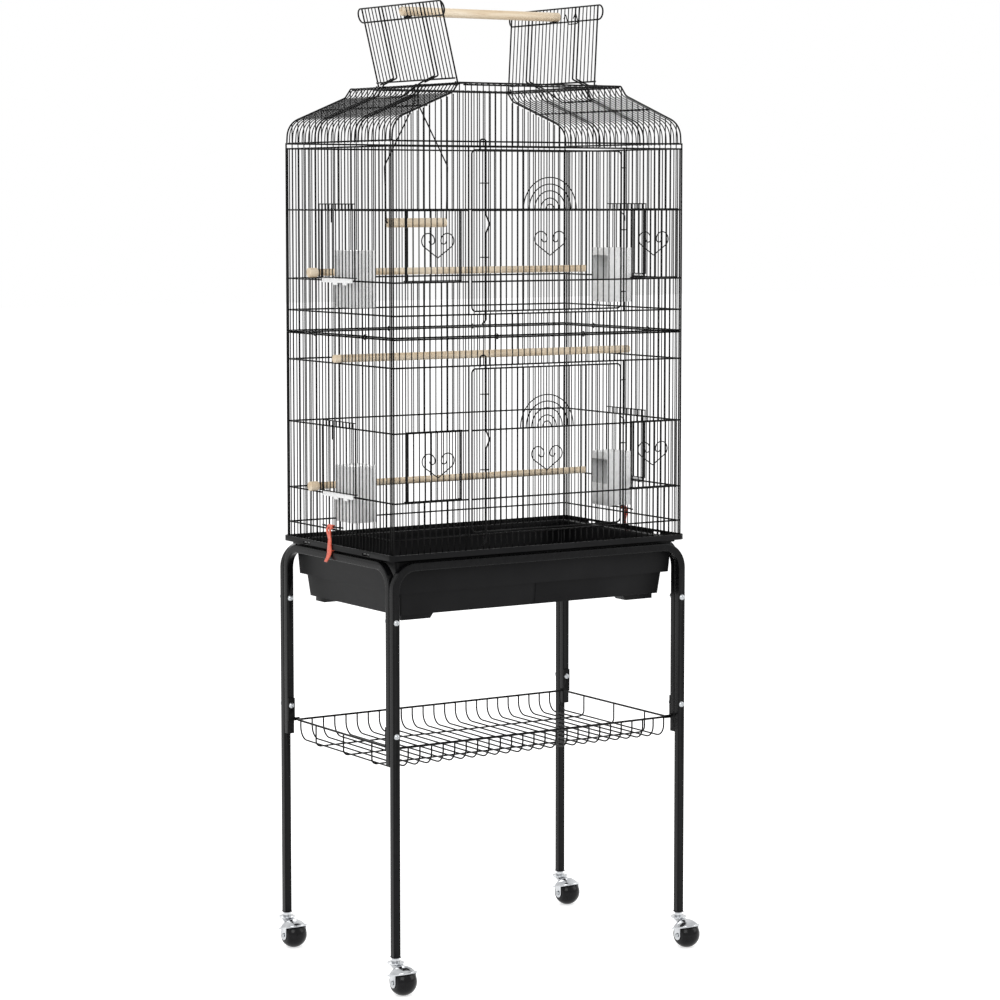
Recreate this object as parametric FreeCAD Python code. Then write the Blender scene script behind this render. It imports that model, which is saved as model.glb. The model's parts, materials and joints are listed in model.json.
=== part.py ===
"""A wire bird cage on a wheeled stand.

Millimetres, +Z up, +X to the right and -Y to the front. The model is drawn round the
upright axis of the cage, and moved at the end so that its origin lies on the floor under
the middle of its box. The casters trail to the front, so the two are not the same.
"""
import FreeCAD, Part
import math
import os

from FreeCAD import Vector

# Cage
cage_width = 620.0
cage_depth = 384.0
bar_diameter = 2.0
rail_diameter = 3.0
front_pitch = 12.4
side_pitch = 12.0
bar_tail = 1.0
weld_gap = 0.1
lower_rails = [808.5, 873.0, 996.0, 1111.0, 1160.3]
upper_rails = [1163.5, 1202.0, 1260.0, 1386.0, 1498.0]
gable_rail = 1507.0

# Roof
roof_top = 1610.0
roof_top_half = 174.0
hinge_half = 150.0
eave_height = 1543.5
eave_inset = 2.0
ridge_rise = 17.0
ridge_run = 12.0
eave_bend = 36.0
ridge_bend = 12.0
roof_mid_rail = 239.0
roof_end_front = 166.0
roof_end_back = 150.0
roof_rail_gap = 0.3
roof_braces = [84.0, 72.0, -60.0, -72.0]

# Roof flaps and the perch that lies between them
flap_ends = {"left": [-144.0, 132.0], "right": [-144.0, 144.0]}
flap_length = 149.0
flap_foot = 10.0
flap_stop_height = 16.0
flap_leans = {"left": 14.0, "right": 3.0}
grip_width = 26.0
grip_overhang = 12.0
stop_wires = {"left": [60.0, 72.0, -72.0, -84.0], "right": [72.0, 84.0, -72.0, -84.0]}
stop_reach = 29.0
stop_rise = 3.8
lever_reach = 57.0
lever_drop = 22.2
lever_narrowing = 23.0
roof_perch_left = -184.0
roof_perch_right = 156.0
roof_perch_diameter = 17.0
roof_perch_place = -12.0
cradle_height = 3.0
cradle_hold = 12.0
cradle_width = 9.0
roof_perch_notches = [9.0, -9.0]
notch_clearance = 0.3

# Doors
main_left = -155.0
main_right = 180.0
main_door_left = -150.0
main_door_right = 175.0
main_door_margin = 4.0
main_corner = 8.0
door_out = 0.55
slot_door_margins = {"left": [25.0, 136.0], "right": [12.0, 112.0]}
hinge_loop_inset = 30.0
feeders = {"left": [-60.0, 60.0], "right": [-72.0, 48.0]}
loop_clearance = 0.35
hinge_clearance = 0.05
door_seat = 0.3
small_door_rise = 2.0
feeder_door_rise = 11.0
heart_width = 66.0
heart_height = 43.0
heart_rise = 45.0
arc_radii = [9.0, 20.0, 33.0, 45.0, 57.0]
ornament_place = {"upper": 18.0, "lower": 12.0}
latch_place = -121.0
latch_hook = 12.0
latch_hook_drop = 20.0
latch_spans = {"upper": [1185.0, 1511.0], "lower": [790.0, 1129.0]}
latch_kinks = {"upper": 1362.0, "lower": 979.0}
latch_guides = {"upper": [1303.0, 1434.0], "lower": [925.0, 1060.0]}
latch_kink = 8.0
latch_gap = 0.3

# Cups
cup_front = -41.0
cup_back = 21.0
cup_depth = 54.0
cup_below_rail = 48.0
cup_height = 102.0
cup_wall = 1.8
cup_corner = 9.0
cup_window_sill = 42.0
cup_window_head = 14.0
cup_flange = 2.4
cup_lip = 8.0
cup_tab = 4.0
cup_tab_width = 14.0
cup_gap = 0.3

# Perches and swing
perch_diameter = 13.0
perch_place = 78.0
perch_short = 26.0
perch_rise = {"upper": 13.0, "lower": 11.0}
perch_stud = 5.0
perch_cap_diameter = 17.0
perch_cap_length = 16.7
middle_perch_diameter = 14.5
middle_perch_beyond = [10.0, 17.0]
swing_place = -6.0
swing_wire_diameter = 2.5
swing_perch_diameter = 17.0
swing_perch_length = 122.0
swing_drop = 247.0
swing_kink_drop = 145.0
swing_kink_half = 67.0
swing_neck = 30.0
swing_tenon = 12.0
swing_hole_clearance = 0.1

# Base tray
tray_wall = 2.5
tray_lip_top = 783.0
tray_lip_height = 10.0
tray_collar_height = 5.0
tray_lip_margin = [8.0, 7.0]
tray_ledge = 2.5
tray_collar_inset = [10.0, 16.0]
tray_shoulder_inset = [19.0, 15.0]
tray_shoulder_bottom_inset = [22.0, 20.0]
tray_belly_inset = [32.0, 30.0]
tray_belly_bottom_inset = [36.0, 35.0]
tray_shoulder_depth = 61.0
tray_belly_depth = 41.0
tray_corner = 6.0
tray_lip_corner = 12.0
tray_foot_height = 10.0
tray_foot_size = [60.0, 32.0]
tray_foot_draft = 7.0
tray_foot_inset = 9.0
tray_slot_length = 27.0
tray_slot_height = 5.0
tray_slot_places = [107.0, -108.0]
tray_slot_rise = 0.5
tray_groove_width = 8.0
tray_groove_depth = 1.0

# Clips that hold the cage to the tray
clip_width = 16.0
clip_thickness = 3.0
clip_place = {"left": 20.0, "right": 0.0}
clip_pivot_rise = 32.0
clip_pivot_stand = 4.0
clip_pivot_half = 29.0
clip_eye_wall = 2.1
clip_hook = 4.0
clip_tail = 18.0
clip_flare = 8.0
clip_gap = 0.5

# Wire hooks that join the two halves of the cage
hook_places_front = [-93.0, 93.0]
hook_places_side = [-90.0, 90.0]
hook_gap = 0.2

# Stand
tube = 14.0
tube_wall = 1.0
tube_corner = 2.0
leg_inset = [8.0, -1.0]
stand_shift = [-1.5, 4.0]
leg_bottom = 69.0
tube_bend = 40.0
stub_bottom = 410.0
bolt_heights = [463.0, 665.0]
bolt_diameter = 6.0
bolt_clearance = 0.2
bolt_head_diameter = 11.0
bolt_head_height = 3.2
bolt_end = 1.0
nut_width = 10.0
nut_height = 5.0
thread_gap = 0.05

# Basket
basket_rim = 436.0
basket_rim_wire = 4.0
basket_wire = 3.0
basket_leg_gap = 10.0
basket_depth = 38.0
basket_count = 25
basket_end_gap = 8.0
basket_bend = 22.0
basket_end_bend = 10.0
basket_rim_corner = 6.0
basket_runners = [-102.0, 0.0, 102.0]
tab_width = 24.0
tab_foot = 6.0
tab_thickness = 2.0
tab_gap = 0.2

# Casters
ball_diameter = 50.0
ball_flat = 20.0
caster_trail = 26.0
hood_gap = 1.5
hood_wall = 1.5
hood_edge = 12.0
hood_lip = 2.0
hood_lip_height = 3.0
hood_tilt = 14.0
cheek_gap = 0.5
cheek_wall = 1.5
cheek_radius = 9.0
axle_diameter = 5.0
axle_clearance = 0.05
rivet_diameter = 8.0
rivet_height = 1.8
plate_radius = 15.0
plate_thickness = 2.0
plate_top = 54.0
floor_rise = 5.0
neck_radius = 11.0
stem_diameter = 8.0
stem_length = 28.0
stem_collar = 15.0
stem_collar_height = 7.7
stem_clearance = 0.05
plug_flange = 2.0
plug_length = 30.0
plug_gap = 0.05
plug_corner = 1.5

# What follows from the sizes above
half_width = cage_width / 2
half_depth = cage_depth / 2
bar_radius = bar_diameter / 2
rail_radius = rail_diameter / 2
rail_out = -(bar_radius + rail_radius)
jamb_out = rail_out + rail_diameter
room_half_width = half_width + rail_out - rail_radius
tray_lip_half = [half_width + tray_lip_margin[0], half_depth + tray_lip_margin[1]]
tray_lip_bottom = tray_lip_top - tray_lip_height
tube_top = tray_lip_bottom - tray_collar_height
tray_step = tray_lip_bottom - tray_shoulder_depth
tray_bottom = tray_step - tray_belly_depth
leg_half = [tray_lip_half[0] - leg_inset[0], tray_lip_half[1] - leg_inset[1]]
basket_half_width = leg_half[0] - basket_leg_gap
basket_span = 2 * (basket_half_width - basket_end_gap)
clip_pivot_height = tray_lip_top + clip_pivot_rise
tube_line = tube_top - tube / 2
ledge_top = tray_lip_bottom + tray_ledge
ball_radius = ball_diameter / 2
hood_inner = ball_radius + hood_gap
hood_outer = hood_inner + hood_wall
cheek_in = ball_flat + cheek_gap
joint_between_halves = (lower_rails[-1] + upper_rails[0]) / 2
side_rail_end = half_depth + rail_out - rail_radius - weld_gap
flap_bar_out = -(bar_radius + rail_radius + weld_gap)
flap_thick_out = -(rail_diameter + hinge_clearance)
stand_place = Vector(0, (caster_trail + ball_radius - plate_radius) / 2, -floor_rise)
cage_place = stand_place - Vector(*stand_shift, 0)

side_names = {-1: "left", 1: "right"}
nodes = {}


def add(name, solids):
    """Keep the solids of one sub-part under its name."""
    nodes[name] = solids if isinstance(solids, list) else [solids]


def rod(start, end, diameter):
    """A straight round wire."""
    run = end - start
    return Part.makeCylinder(diameter / 2, run.Length, start, run)


def bent_path(points, radii):
    """Straight runs through the points, joined by an arc at each bend."""
    edges = []
    here = points[0]
    for corner, following, radius in zip(points[1:-1], points[2:], radii):
        before = (corner - here).normalize()
        after = (following - corner).normalize()
        half_turn = before.getAngle(after) / 2
        setback = radius * math.tan(half_turn)
        first = corner - before * setback
        last = corner + after * setback
        sagitta = radius / math.cos(half_turn) - radius
        middle = corner + (after - before).normalize() * sagitta
        edges.append(Part.LineSegment(here, first).toShape())
        edges.append(Part.Arc(first, middle, last).toShape())
        here = last
    edges.append(Part.LineSegment(here, points[-1]).toShape())
    return Part.Wire(edges)


def bent_wire(points, diameter, radii):
    """A round wire bent at each inner point, with one radius or a list of them."""
    if not isinstance(radii, list):
        radii = [radii] * (len(points) - 2)
    section = Part.Circle(points[0], points[1] - points[0], diameter / 2).toShape()
    return bent_path(points, radii).makePipeShell([Part.Wire([section])], True, False)


def on_wall(side, along, out, up):
    """A point on a wall: along it, out from its bars' plane, and up."""
    if side == "front":
        return Vector(along, -half_depth - out, up)
    if side == "back":
        return Vector(along, half_depth + out, up)
    if side == "left":
        return Vector(-half_width - out, along, up)
    return Vector(half_width + out, along, up)


def rounded_outline(half, height, corner):
    """A flat rounded rectangle about the upright axis."""
    far_x, far_y = half
    flat_x = far_x - corner
    flat_y = far_y - corner
    diagonal = corner * math.sqrt(0.5)
    edges = []
    here = Vector(far_x, -flat_y, height)
    for sign_x, sign_y, first_along_y in [(1, 1, True), (-1, 1, False), (-1, -1, True), (1, -1, False)]:
        centre = Vector(sign_x * flat_x, sign_y * flat_y, height)
        beside = Vector(sign_x * corner, 0, 0)
        beyond = Vector(0, sign_y * corner, 0)
        start = centre + (beside if first_along_y else beyond)
        finish = centre + (beyond if first_along_y else beside)
        middle = centre + Vector(sign_x * diagonal, sign_y * diagonal, 0)
        edges.append(Part.LineSegment(here, start).toShape())
        edges.append(Part.Arc(start, middle, finish).toShape())
        here = finish
    return Part.Wire(edges)


def tapered_block(bottom_half, bottom, top_half, top, corner):
    """A solid between two rounded rectangles."""
    outlines = [rounded_outline(bottom_half, bottom, corner), rounded_outline(top_half, top, corner)]
    return Part.makeLoft(outlines, True, True)


def inset(half, distance):
    """The half sizes of a rectangle made smaller all round."""
    return [half[0] - distance, half[1] - distance]


def inset_both(half, distances):
    """The half sizes of a rectangle after a step inwards of its own along each axis."""
    return [half[0] - distances[0], half[1] - distances[1]]


def runs_between(start, end, gaps):
    """What is left of a run when the gaps are taken out."""
    runs = []
    for low, high in sorted(gaps):
        if low > start:
            runs.append((start, low))
        start = max(start, high)
    if end > start:
        runs.append((start, end))
    return runs


def bar_gaps(along, openings):
    """Where the openings of a wall cut the upright bar at one place."""
    gaps = []
    for left, right, low, high in openings:
        if abs(along - left) < rail_diameter or abs(along - right) < rail_diameter:
            gaps.append((low - rail_radius - weld_gap, high + rail_radius + weld_gap))
        elif left < along < right:
            gaps.append((low + bar_tail, high - bar_tail))
    return gaps


def wall(side, places, bottom, top, rails, openings):
    """A welded wall: upright bars, rails behind them and thicker bars beside each opening."""
    solids = []
    is_long = side in ("front", "back")
    end = half_width if is_long else side_rail_end
    end_bar = half_width if is_long else side_rail_end - rail_radius
    for along in (-end_bar, end_bar):
        solids.append(rod(on_wall(side, along, jamb_out, bottom), on_wall(side, along, jamb_out, top(along)),
                          rail_diameter))
    for along in places:
        if abs(along) < end_bar - bar_diameter:
            for low, high in runs_between(bottom, top(along), bar_gaps(along, openings)):
                solids.append(rod(on_wall(side, along, 0, low), on_wall(side, along, 0, high), bar_diameter))
    for height in rails:
        gaps = [(left + rail_radius, right - rail_radius)
                for left, right, low, high in openings if low < height < high]
        for start, finish in runs_between(-end, end, gaps):
            solids.append(rod(on_wall(side, start, rail_out, height),
                              on_wall(side, finish, rail_out, height), rail_diameter))
    for left, right, low, high in openings:
        for along in (left, right):
            solids.append(rod(on_wall(side, along, jamb_out, low - rail_radius),
                              on_wall(side, along, jamb_out, high + rail_radius), rail_diameter))
    return solids


def roof_profile():
    """The bent line of the right half of the roof, from the wall to the hinge bar."""
    points = [Vector(half_width, 0, upper_rails[-1] + rail_diameter * 2.5),
              Vector(half_width - eave_inset, 0, eave_height),
              Vector(roof_top_half + ridge_run, 0, roof_top - ridge_rise),
              Vector(roof_top_half, 0, roof_top)]
    return points


def roof_height(along):
    """The height of the roof line above one place along the front wall."""
    points = roof_profile()
    away = abs(along)
    for lower, upper in zip(points[:-1], points[1:]):
        if upper.x <= away <= lower.x:
            share = (lower.x - away) / max(lower.x - upper.x, bar_radius)
            return lower.z + (upper.z - lower.z) * share
    return roof_top


def gable_top(along):
    """Where the bars of a gable end, just under its bent rail."""
    slope_allowance = rail_radius if abs(along) < roof_top_half else rail_diameter
    return max(roof_height(along) - slope_allowance, gable_rail + rail_radius)


front_places = [-half_width + front_pitch * step for step in range(round(cage_width / front_pitch) + 1)]
side_bar_count = round(cage_depth / side_pitch) - 1
side_places = [side_pitch * (step - (side_bar_count - 1) / 2) for step in range(side_bar_count)]


def nearest_bar(along):
    """The upright bar of the front wall that is nearest to a place."""
    return min(front_places, key=lambda place: abs(place - along))


def slot_door_sides(name):
    """The two upright bars beside a small front door, from the side wall that it is near."""
    sign = -1 if name == "left" else 1
    return sorted(nearest_bar(sign * (half_width - margin)) for margin in slot_door_margins[name])


def between_bars(side, along):
    """The middle of the gap between two upright bars that is nearest to a place."""
    places = front_places if side in ("front", "back") else side_places
    gaps = [(first + second) / 2 for first, second in zip(places[:-1], places[1:])]
    return min(gaps, key=lambda place: abs(place - along))


def slot_openings(level):
    """The two small openings in one level of the front wall."""
    low, high = level
    openings = []
    for name in slot_door_margins:
        left, right = slot_door_sides(name)
        openings.append((left, right, low, high))
    return openings


levels = {"upper": (upper_rails[2], upper_rails[3]), "lower": (lower_rails[1], lower_rails[2])}
main_spans = {"upper": (upper_rails[1], upper_rails[4]), "lower": (lower_rails[0], lower_rails[3])}


def build_walls():
    """Eight welded walls, four to each half of the cage."""
    for half, rails in (("upper", upper_rails), ("lower", lower_rails)):
        low = ledge_top + weld_gap if half == "lower" else joint_between_halves + weld_gap
        high = joint_between_halves - weld_gap if half == "lower" else upper_rails[-1] + rail_radius
        front_top = gable_top if half == "upper" else lambda along: high
        front_rails = rails + [gable_rail] if half == "upper" else rails
        doorway = [(main_left, main_right) + main_spans[half]] + slot_openings(levels[half])
        add("front_" + half + "_wall", wall("front", front_places, low, front_top, front_rails, doorway))
        add("back_" + half + "_wall", wall("back", front_places, low, front_top, front_rails, []))
        for side in ("left", "right"):
            feeder = [tuple(feeders[side]) + levels[half]]
            solids = wall(side, side_places, low, lambda along: high, rails, feeder)
            if half == "lower":
                solids.append(clip_pivot(side))
            add(side + "_" + half + "_wall", solids)
    for side in ("front", "back"):
        nodes[side + "_upper_wall"].append(gable_arch(side))


def clip_pivot(side):
    """The bent wire on a side wall that a tray clip turns on."""
    out = bar_radius + rail_radius
    stand = out + clip_pivot_stand
    middle = clip_place[side]
    near = middle - clip_pivot_half
    far = middle + clip_pivot_half
    foot = 2 * clip_pivot_stand
    route = [(near - foot, out), (near, out), (near + clip_pivot_stand, stand),
             (far - clip_pivot_stand, stand), (far, out), (far + foot, out)]
    points = [on_wall(side, along, away, clip_pivot_height) for along, away in route]
    return bent_wire(points, rail_diameter, rail_diameter)


def gable_arch(side):
    """The rail that follows the roof line over a gable."""
    half_line = [(point.x, point.z) for point in roof_profile()]
    half_line[0] = (half_line[0][0], gable_rail + rail_radius + 2 * weld_gap)
    line = half_line + [(-x, z) for x, z in reversed(half_line)]
    points = [on_wall(side, along, rail_out, up) for along, up in line]
    return bent_wire(points, rail_diameter, [eave_bend, ridge_bend, rail_diameter,
                                             rail_diameter, ridge_bend, eave_bend])


def build_roof():
    """Two bent slopes and the top frame that the flaps hinge on."""
    end = side_rail_end
    profile = roof_profile() + [Vector(hinge_half + rail_radius + weld_gap, 0, roof_top)]
    foot = profile[1]
    brow = profile[2]
    share = (foot.x - roof_mid_rail) / (foot.x - brow.x)
    mid_height = foot.z + (brow.z - foot.z) * share
    tilt = math.atan2(brow.z - foot.z, foot.x - brow.x)
    for side, sign in (("left", -1), ("right", 1)):
        solids = []
        for along in side_places:
            points = [Vector(sign * point.x, along, point.z) for point in profile]
            if along in flap_ends[side]:
                points[-1].x += sign * 2 * rail_diameter
            diameter = rail_diameter if along in roof_braces else bar_diameter
            solids.append(bent_wire(points, diameter, [eave_bend, ridge_bend, rail_diameter]))
        rails = [(half_width + rail_out - roof_rail_gap, gable_rail + bar_radius),
                 (roof_mid_rail + rail_out * math.sin(tilt), mid_height + rail_out * math.cos(tilt)),
                 (roof_top_half - rail_diameter, roof_top + rail_out)]
        for across, up in rails:
            solids.append(rod(Vector(sign * across, -end, up), Vector(sign * across, end, up), rail_diameter))
        add(side + "_roof_slope", solids)
    solids = []
    for sign in (-1, 1):
        solids.append(rod(Vector(sign * hinge_half, -end, roof_top),
                          Vector(sign * hinge_half, end, roof_top), rail_diameter))
    reach = hinge_half - rail_radius - weld_gap
    for near, far in ((-end, -roof_end_front), (roof_end_back, end)):
        cross_bar = -roof_end_front if near == -end else roof_end_back
        solids.append(rod(Vector(-reach, cross_bar, roof_top + rail_out),
                          Vector(reach, cross_bar, roof_top + rail_out), rail_diameter))
        for along in front_places:
            if abs(along) < reach - bar_diameter:
                solids.append(rod(Vector(along, near, roof_top), Vector(along, far, roof_top), bar_diameter))
    add("roof_frame", solids)


def on_flap(sign, up, out, along):
    """A point on an open flap: up from its hinge bar, out from its plane, and along it."""
    lean = math.radians(flap_leans[side_names[sign]])
    across = up * math.sin(lean) + out * math.cos(lean)
    height = up * math.cos(lean) - out * math.sin(lean)
    return Vector(sign * (hinge_half + across), along, roof_top + height)


def flap_grip(sign):
    """The long round-ended loop at the free edge of a flap."""
    low = flap_length - grip_width
    front, back = flap_ends[side_names[sign]]
    near = front - grip_overhang
    far = back + grip_overhang
    middle = (near + far) / 2
    route = [(low, middle + weld_gap), (low, far), (flap_length, far),
             (flap_length, near), (low, near), (low, middle - weld_gap)]
    points = [on_flap(sign, up, 0, along) for up, along in route]
    return bent_wire(points, rail_diameter, grip_width / 2 - weld_gap)


def flap_side_wire(sign, along):
    """A thick wire down the side of a flap, curled round the hinge bar at its foot."""
    curl = -flap_thick_out
    route = [(flap_length, -curl), (-curl, -curl), (-curl, curl), (curl, curl), (curl, 0)]
    points = [on_flap(sign, up, out, along) for up, out in route]
    return bent_wire(points, rail_diameter, curl - weld_gap)


def flap_stop_leg(sign, along):
    """A thick wire down a flap, whose foot bends out over the edge of the roof."""
    points = [on_flap(sign, flap_length, flap_thick_out, along),
              on_flap(sign, flap_stop_height, flap_thick_out, along),
              Vector(sign * (hinge_half + stop_reach), along, roof_top + stop_rise)]
    return bent_wire(points, rail_diameter, rail_diameter)


def flap_lever(sign):
    """The stop of a flap: two of its wires run out over the roof edge to a bar on the slope."""
    solids = []
    outer, inner = stop_wires[side_names[sign]][0], stop_wires[side_names[sign]][2]
    bar_across = sign * (hinge_half + lever_reach)
    bar_up = roof_top - lever_drop
    for along, far in ((outer, outer - lever_narrowing), (inner, inner + lever_narrowing)):
        points = [on_flap(sign, flap_length, flap_thick_out, along),
                  on_flap(sign, flap_stop_height, flap_thick_out, along),
                  Vector(sign * (hinge_half + stop_reach), along, roof_top + stop_rise),
                  Vector(bar_across, far, bar_up)]
        solids.append(bent_wire(points, rail_diameter, rail_diameter))
    reach = rail_radius + weld_gap
    solids.append(rod(Vector(bar_across, inner + lever_narrowing + reach, bar_up),
                      Vector(bar_across, outer - lever_narrowing - reach, bar_up), rail_diameter))
    return solids


def flap_catch(sign):
    """The zigzag wire catch that hooks the two closed flaps together."""
    low = flap_length - grip_width
    out = rail_radius + bar_radius + weld_gap
    route = [(low + 7.0, -26.0), (low + 15.0, -31.0), (low - 1.5, -40.0), (low - 4.0, -44.0),
             (low - 4.0, -70.0), (low + 1.0, -72.0), (low + 16.0, -64.0), (low + 6.0, -57.0)]
    points = [on_flap(sign, up, out, along) for up, along in route]
    return bent_wire(points, bar_diameter, bar_radius + weld_gap)


def flap_cradle(sign):
    """The small saddle on a flap that carries one end of the roof perch."""
    top = perch_seat_height() - door_seat
    low = top - cradle_height
    height = (low - roof_top) / math.cos(math.radians(flap_leans[side_names[sign]]))
    outer = abs(on_flap(sign, height, flap_bar_out - bar_radius - weld_gap, 0).x)
    block = Part.makeBox(cradle_hold, cradle_width, cradle_height,
                         Vector(outer - cradle_hold, roof_perch_place - cradle_width / 2, low))
    if sign < 0:
        block = block.mirror(Vector(0, 0, 0), Vector(1, 0, 0))
    return block


def perch_seat_height():
    """The underside of the roof perch, just over the grip of the steeper flap."""
    grip_low = on_flap(1, flap_length - grip_width, 0, 0)
    return grip_low.z + rail_radius + weld_gap


def notched_dowel(start, end, diameter, notches):
    """A dowel whose ends are slotted, so that each takes hold of one upright bar."""
    dowel = rod(start, end, diameter)
    slot_width = bar_diameter + 2 * notch_clearance
    for tip, depth in zip((start, end), notches):
        corner = Vector(tip.x - (weld_gap if depth > 0 else -depth), tip.y - slot_width / 2,
                        tip.z - diameter)
        dowel = dowel.cut(Part.makeBox(abs(depth) + weld_gap, slot_width, 2 * diameter, corner))
    return dowel


def build_flaps():
    """The two open halves of the roof hatch, and the perch across them."""
    for side, sign in (("left", -1), ("right", 1)):
        front, back = flap_ends[side]
        solids = [flap_grip(sign)]
        solids.append(rod(on_flap(sign, flap_foot, 0, front + rail_radius),
                          on_flap(sign, flap_foot, 0, back - rail_radius), rail_diameter))
        for along in (front, back):
            solids.append(flap_side_wire(sign, along))
        for step in range(1, round((back - front) / side_pitch)):
            along = front + step * side_pitch
            if along not in stop_wires[side]:
                solids.append(rod(on_flap(sign, flap_foot - bar_tail, flap_bar_out, along),
                                  on_flap(sign, flap_length, flap_bar_out, along), bar_diameter))
        for along in (stop_wires[side][1], stop_wires[side][3]):
            solids.append(flap_stop_leg(sign, along))
        solids += flap_lever(sign)
        solids.append(flap_cradle(sign))
        if side == "right":
            solids.append(flap_catch(sign))
        add(side + "_roof_flap", solids)
    height = perch_seat_height() + roof_perch_diameter / 2
    add("roof_perch", notched_dowel(Vector(roof_perch_left, roof_perch_place, height),
                                    Vector(roof_perch_right, roof_perch_place, height),
                                    roof_perch_diameter, roof_perch_notches))


def heart(side, place, out, bottom):
    """A scrolled wire heart standing on its tip."""
    half = heart_width / 2
    lobe = (half - heart_height * 0.15) / 2
    inner = half - 2 * lobe
    curl = lobe * 0.42
    shoulder = heart_height - lobe
    side_turn = math.atan2(half, shoulder * 0.77)
    knee = shoulder - lobe * math.tan(side_turn / 2) - weld_gap
    route = [(half, knee), (half, heart_height), (inner, heart_height),
             (inner, shoulder - curl), (inner + 2 * curl, shoulder - curl), (inner + 2 * curl, shoulder)]
    bends = [lobe, lobe - weld_gap, lobe - weld_gap, curl - weld_gap, curl - weld_gap]
    line = [(-x, z) for x, z in reversed(route)] + [(0.0, 0.0)] + route
    points = [on_wall(side, place + x, out, bottom + z) for x, z in line]
    return bent_wire(points, bar_diameter, bends[::-1] + [bar_diameter] + bends)


def arch(place, out, base, radius):
    """A half ring of wire standing on a cross bar."""
    points = [on_wall("front", place - radius, out, base), on_wall("front", place, out, base + radius),
              on_wall("front", place + radius, out, base)]
    path = Part.Wire([Part.Arc(*points).toShape()])
    section = Part.Circle(points[0], Vector(0, 0, 1), bar_radius).toShape()
    return path.makePipeShell([Part.Wire([section])], True, False)


def door_frame(low, high):
    """The rounded outer wire of a main door."""
    left = main_door_left + rail_radius
    right = main_door_right - rail_radius
    middle = (left + right) / 2
    route = [(middle + weld_gap, low), (right, low), (right, high), (left, high), (left, low),
             (middle - weld_gap, low)]
    points = [on_wall("front", along, door_out, up) for along, up in route]
    return bent_wire(points, rail_diameter, main_corner)


def hinge_loop(height):
    """A hook from the door's frame round the thick bar beside the doorway."""
    curl = rail_radius + hinge_clearance + bar_radius
    start = main_door_right - rail_radius - bar_radius
    front = jamb_out + curl
    route = [(start, front), (main_right + curl, front), (main_right + curl, jamb_out - curl),
             (main_right - curl, jamb_out - curl), (main_right - curl, jamb_out)]
    points = [on_wall("front", along, out, height) for along, out in route]
    return bent_wire(points, bar_diameter, curl - weld_gap)


def latch_guide(height):
    """A staple on a main door that the latch rod slides in."""
    foot_out = door_out - rail_radius + bar_radius
    inner = rail_radius + bar_radius + latch_gap * 2
    front = latch_out() + rail_radius + bar_radius + latch_gap
    foot = inner + bar_diameter * 3
    route = [(-foot, foot_out), (-inner, foot_out), (-inner, front), (inner, front),
             (inner, foot_out), (foot, foot_out)]
    points = [on_wall("front", latch_place + along, out, height) for along, out in route]
    return bent_wire(points, bar_diameter, bar_radius + weld_gap)


def latch_out():
    """How far a latch rod's middle stands out from the wall."""
    return door_out + rail_diameter + latch_gap


def latch_rod(half):
    """The lifting rod that locks a main door, with a finger kink and a hooked top."""
    low, high = latch_spans[half]
    kink = latch_kinks[half]
    route = [(latch_place - 8.0, low), (latch_place, low + 7.0), (latch_place, kink - 16.0),
             (latch_place + latch_kink, kink), (latch_place, kink + 16.0), (latch_place, high),
             (latch_place - latch_hook, high), (latch_place - latch_hook, high - latch_hook_drop)]
    points = [on_wall("front", along, latch_out(), up) for along, up in route]
    finger = rail_diameter * 2
    return bent_wire(points, rail_diameter, [rail_diameter, finger, rail_diameter, finger,
                                             rail_diameter * 1.5, rail_diameter * 1.5])


def build_main_doors():
    """The two large hinged doors of the front wall and their latch rods."""
    bar_out = door_out - rail_radius - bar_radius
    arch_out = bar_out + bar_diameter
    left = main_door_left + rail_diameter + weld_gap
    right = main_door_right - rail_diameter - weld_gap
    for half in ("upper", "lower"):
        opening_low, opening_high = main_spans[half]
        low = opening_low + rail_radius + main_door_margin
        high = opening_high - rail_radius - main_door_margin
        cross_low, cross_high = levels[half]
        solids = [door_frame(low, high)]
        for along in front_places:
            if left < along < right:
                solids.append(rod(on_wall("front", along, bar_out, low - bar_tail),
                                  on_wall("front", along, bar_out, high + bar_tail), bar_diameter))
        for height in (cross_low, cross_high):
            solids.append(rod(on_wall("front", left, door_out, height),
                              on_wall("front", right, door_out, height), rail_diameter))
        for radius in arc_radii:
            solids.append(arch(ornament_place[half], arch_out, cross_high + rail_radius + weld_gap, radius))
        solids.append(heart("front", ornament_place[half], arch_out, cross_low + heart_rise))
        for height in (low + hinge_loop_inset, (low + high) / 2, high - hinge_loop_inset):
            solids.append(hinge_loop(height))
        for height in latch_guides[half]:
            solids.append(latch_guide(height))
        add(half + "_main_door", solids)
        add(half + "_door_latch", latch_rod(half))


def lifting_door(side, left, right, low_rail, seat, top, places):
    """A door that slides up on the two thick bars beside its opening."""
    curl = rail_radius + loop_clearance + bar_radius
    front = jamb_out + curl
    bottom = low_rail + rail_radius + seat + bar_radius
    route = [(left + curl, jamb_out), (left + curl, jamb_out - curl), (left - curl, jamb_out - curl),
             (left - curl, front), (right + curl, front), (right + curl, jamb_out - curl),
             (right - curl, jamb_out - curl), (right - curl, jamb_out)]
    points = [on_wall(side, along, out, bottom) for along, out in route]
    solids = [bent_wire(points, bar_diameter, curl - weld_gap)]
    solids.append(rod(on_wall(side, left - curl, front, top), on_wall(side, right + curl, front, top),
                      bar_diameter))
    bar_out = front + bar_diameter
    for along in places:
        if left - bar_radius < along < right + bar_radius:
            solids.append(rod(on_wall(side, along, bar_out, bottom - bar_tail),
                              on_wall(side, along, bar_out, top + bar_tail), bar_diameter))
    return solids, bar_out


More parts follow.
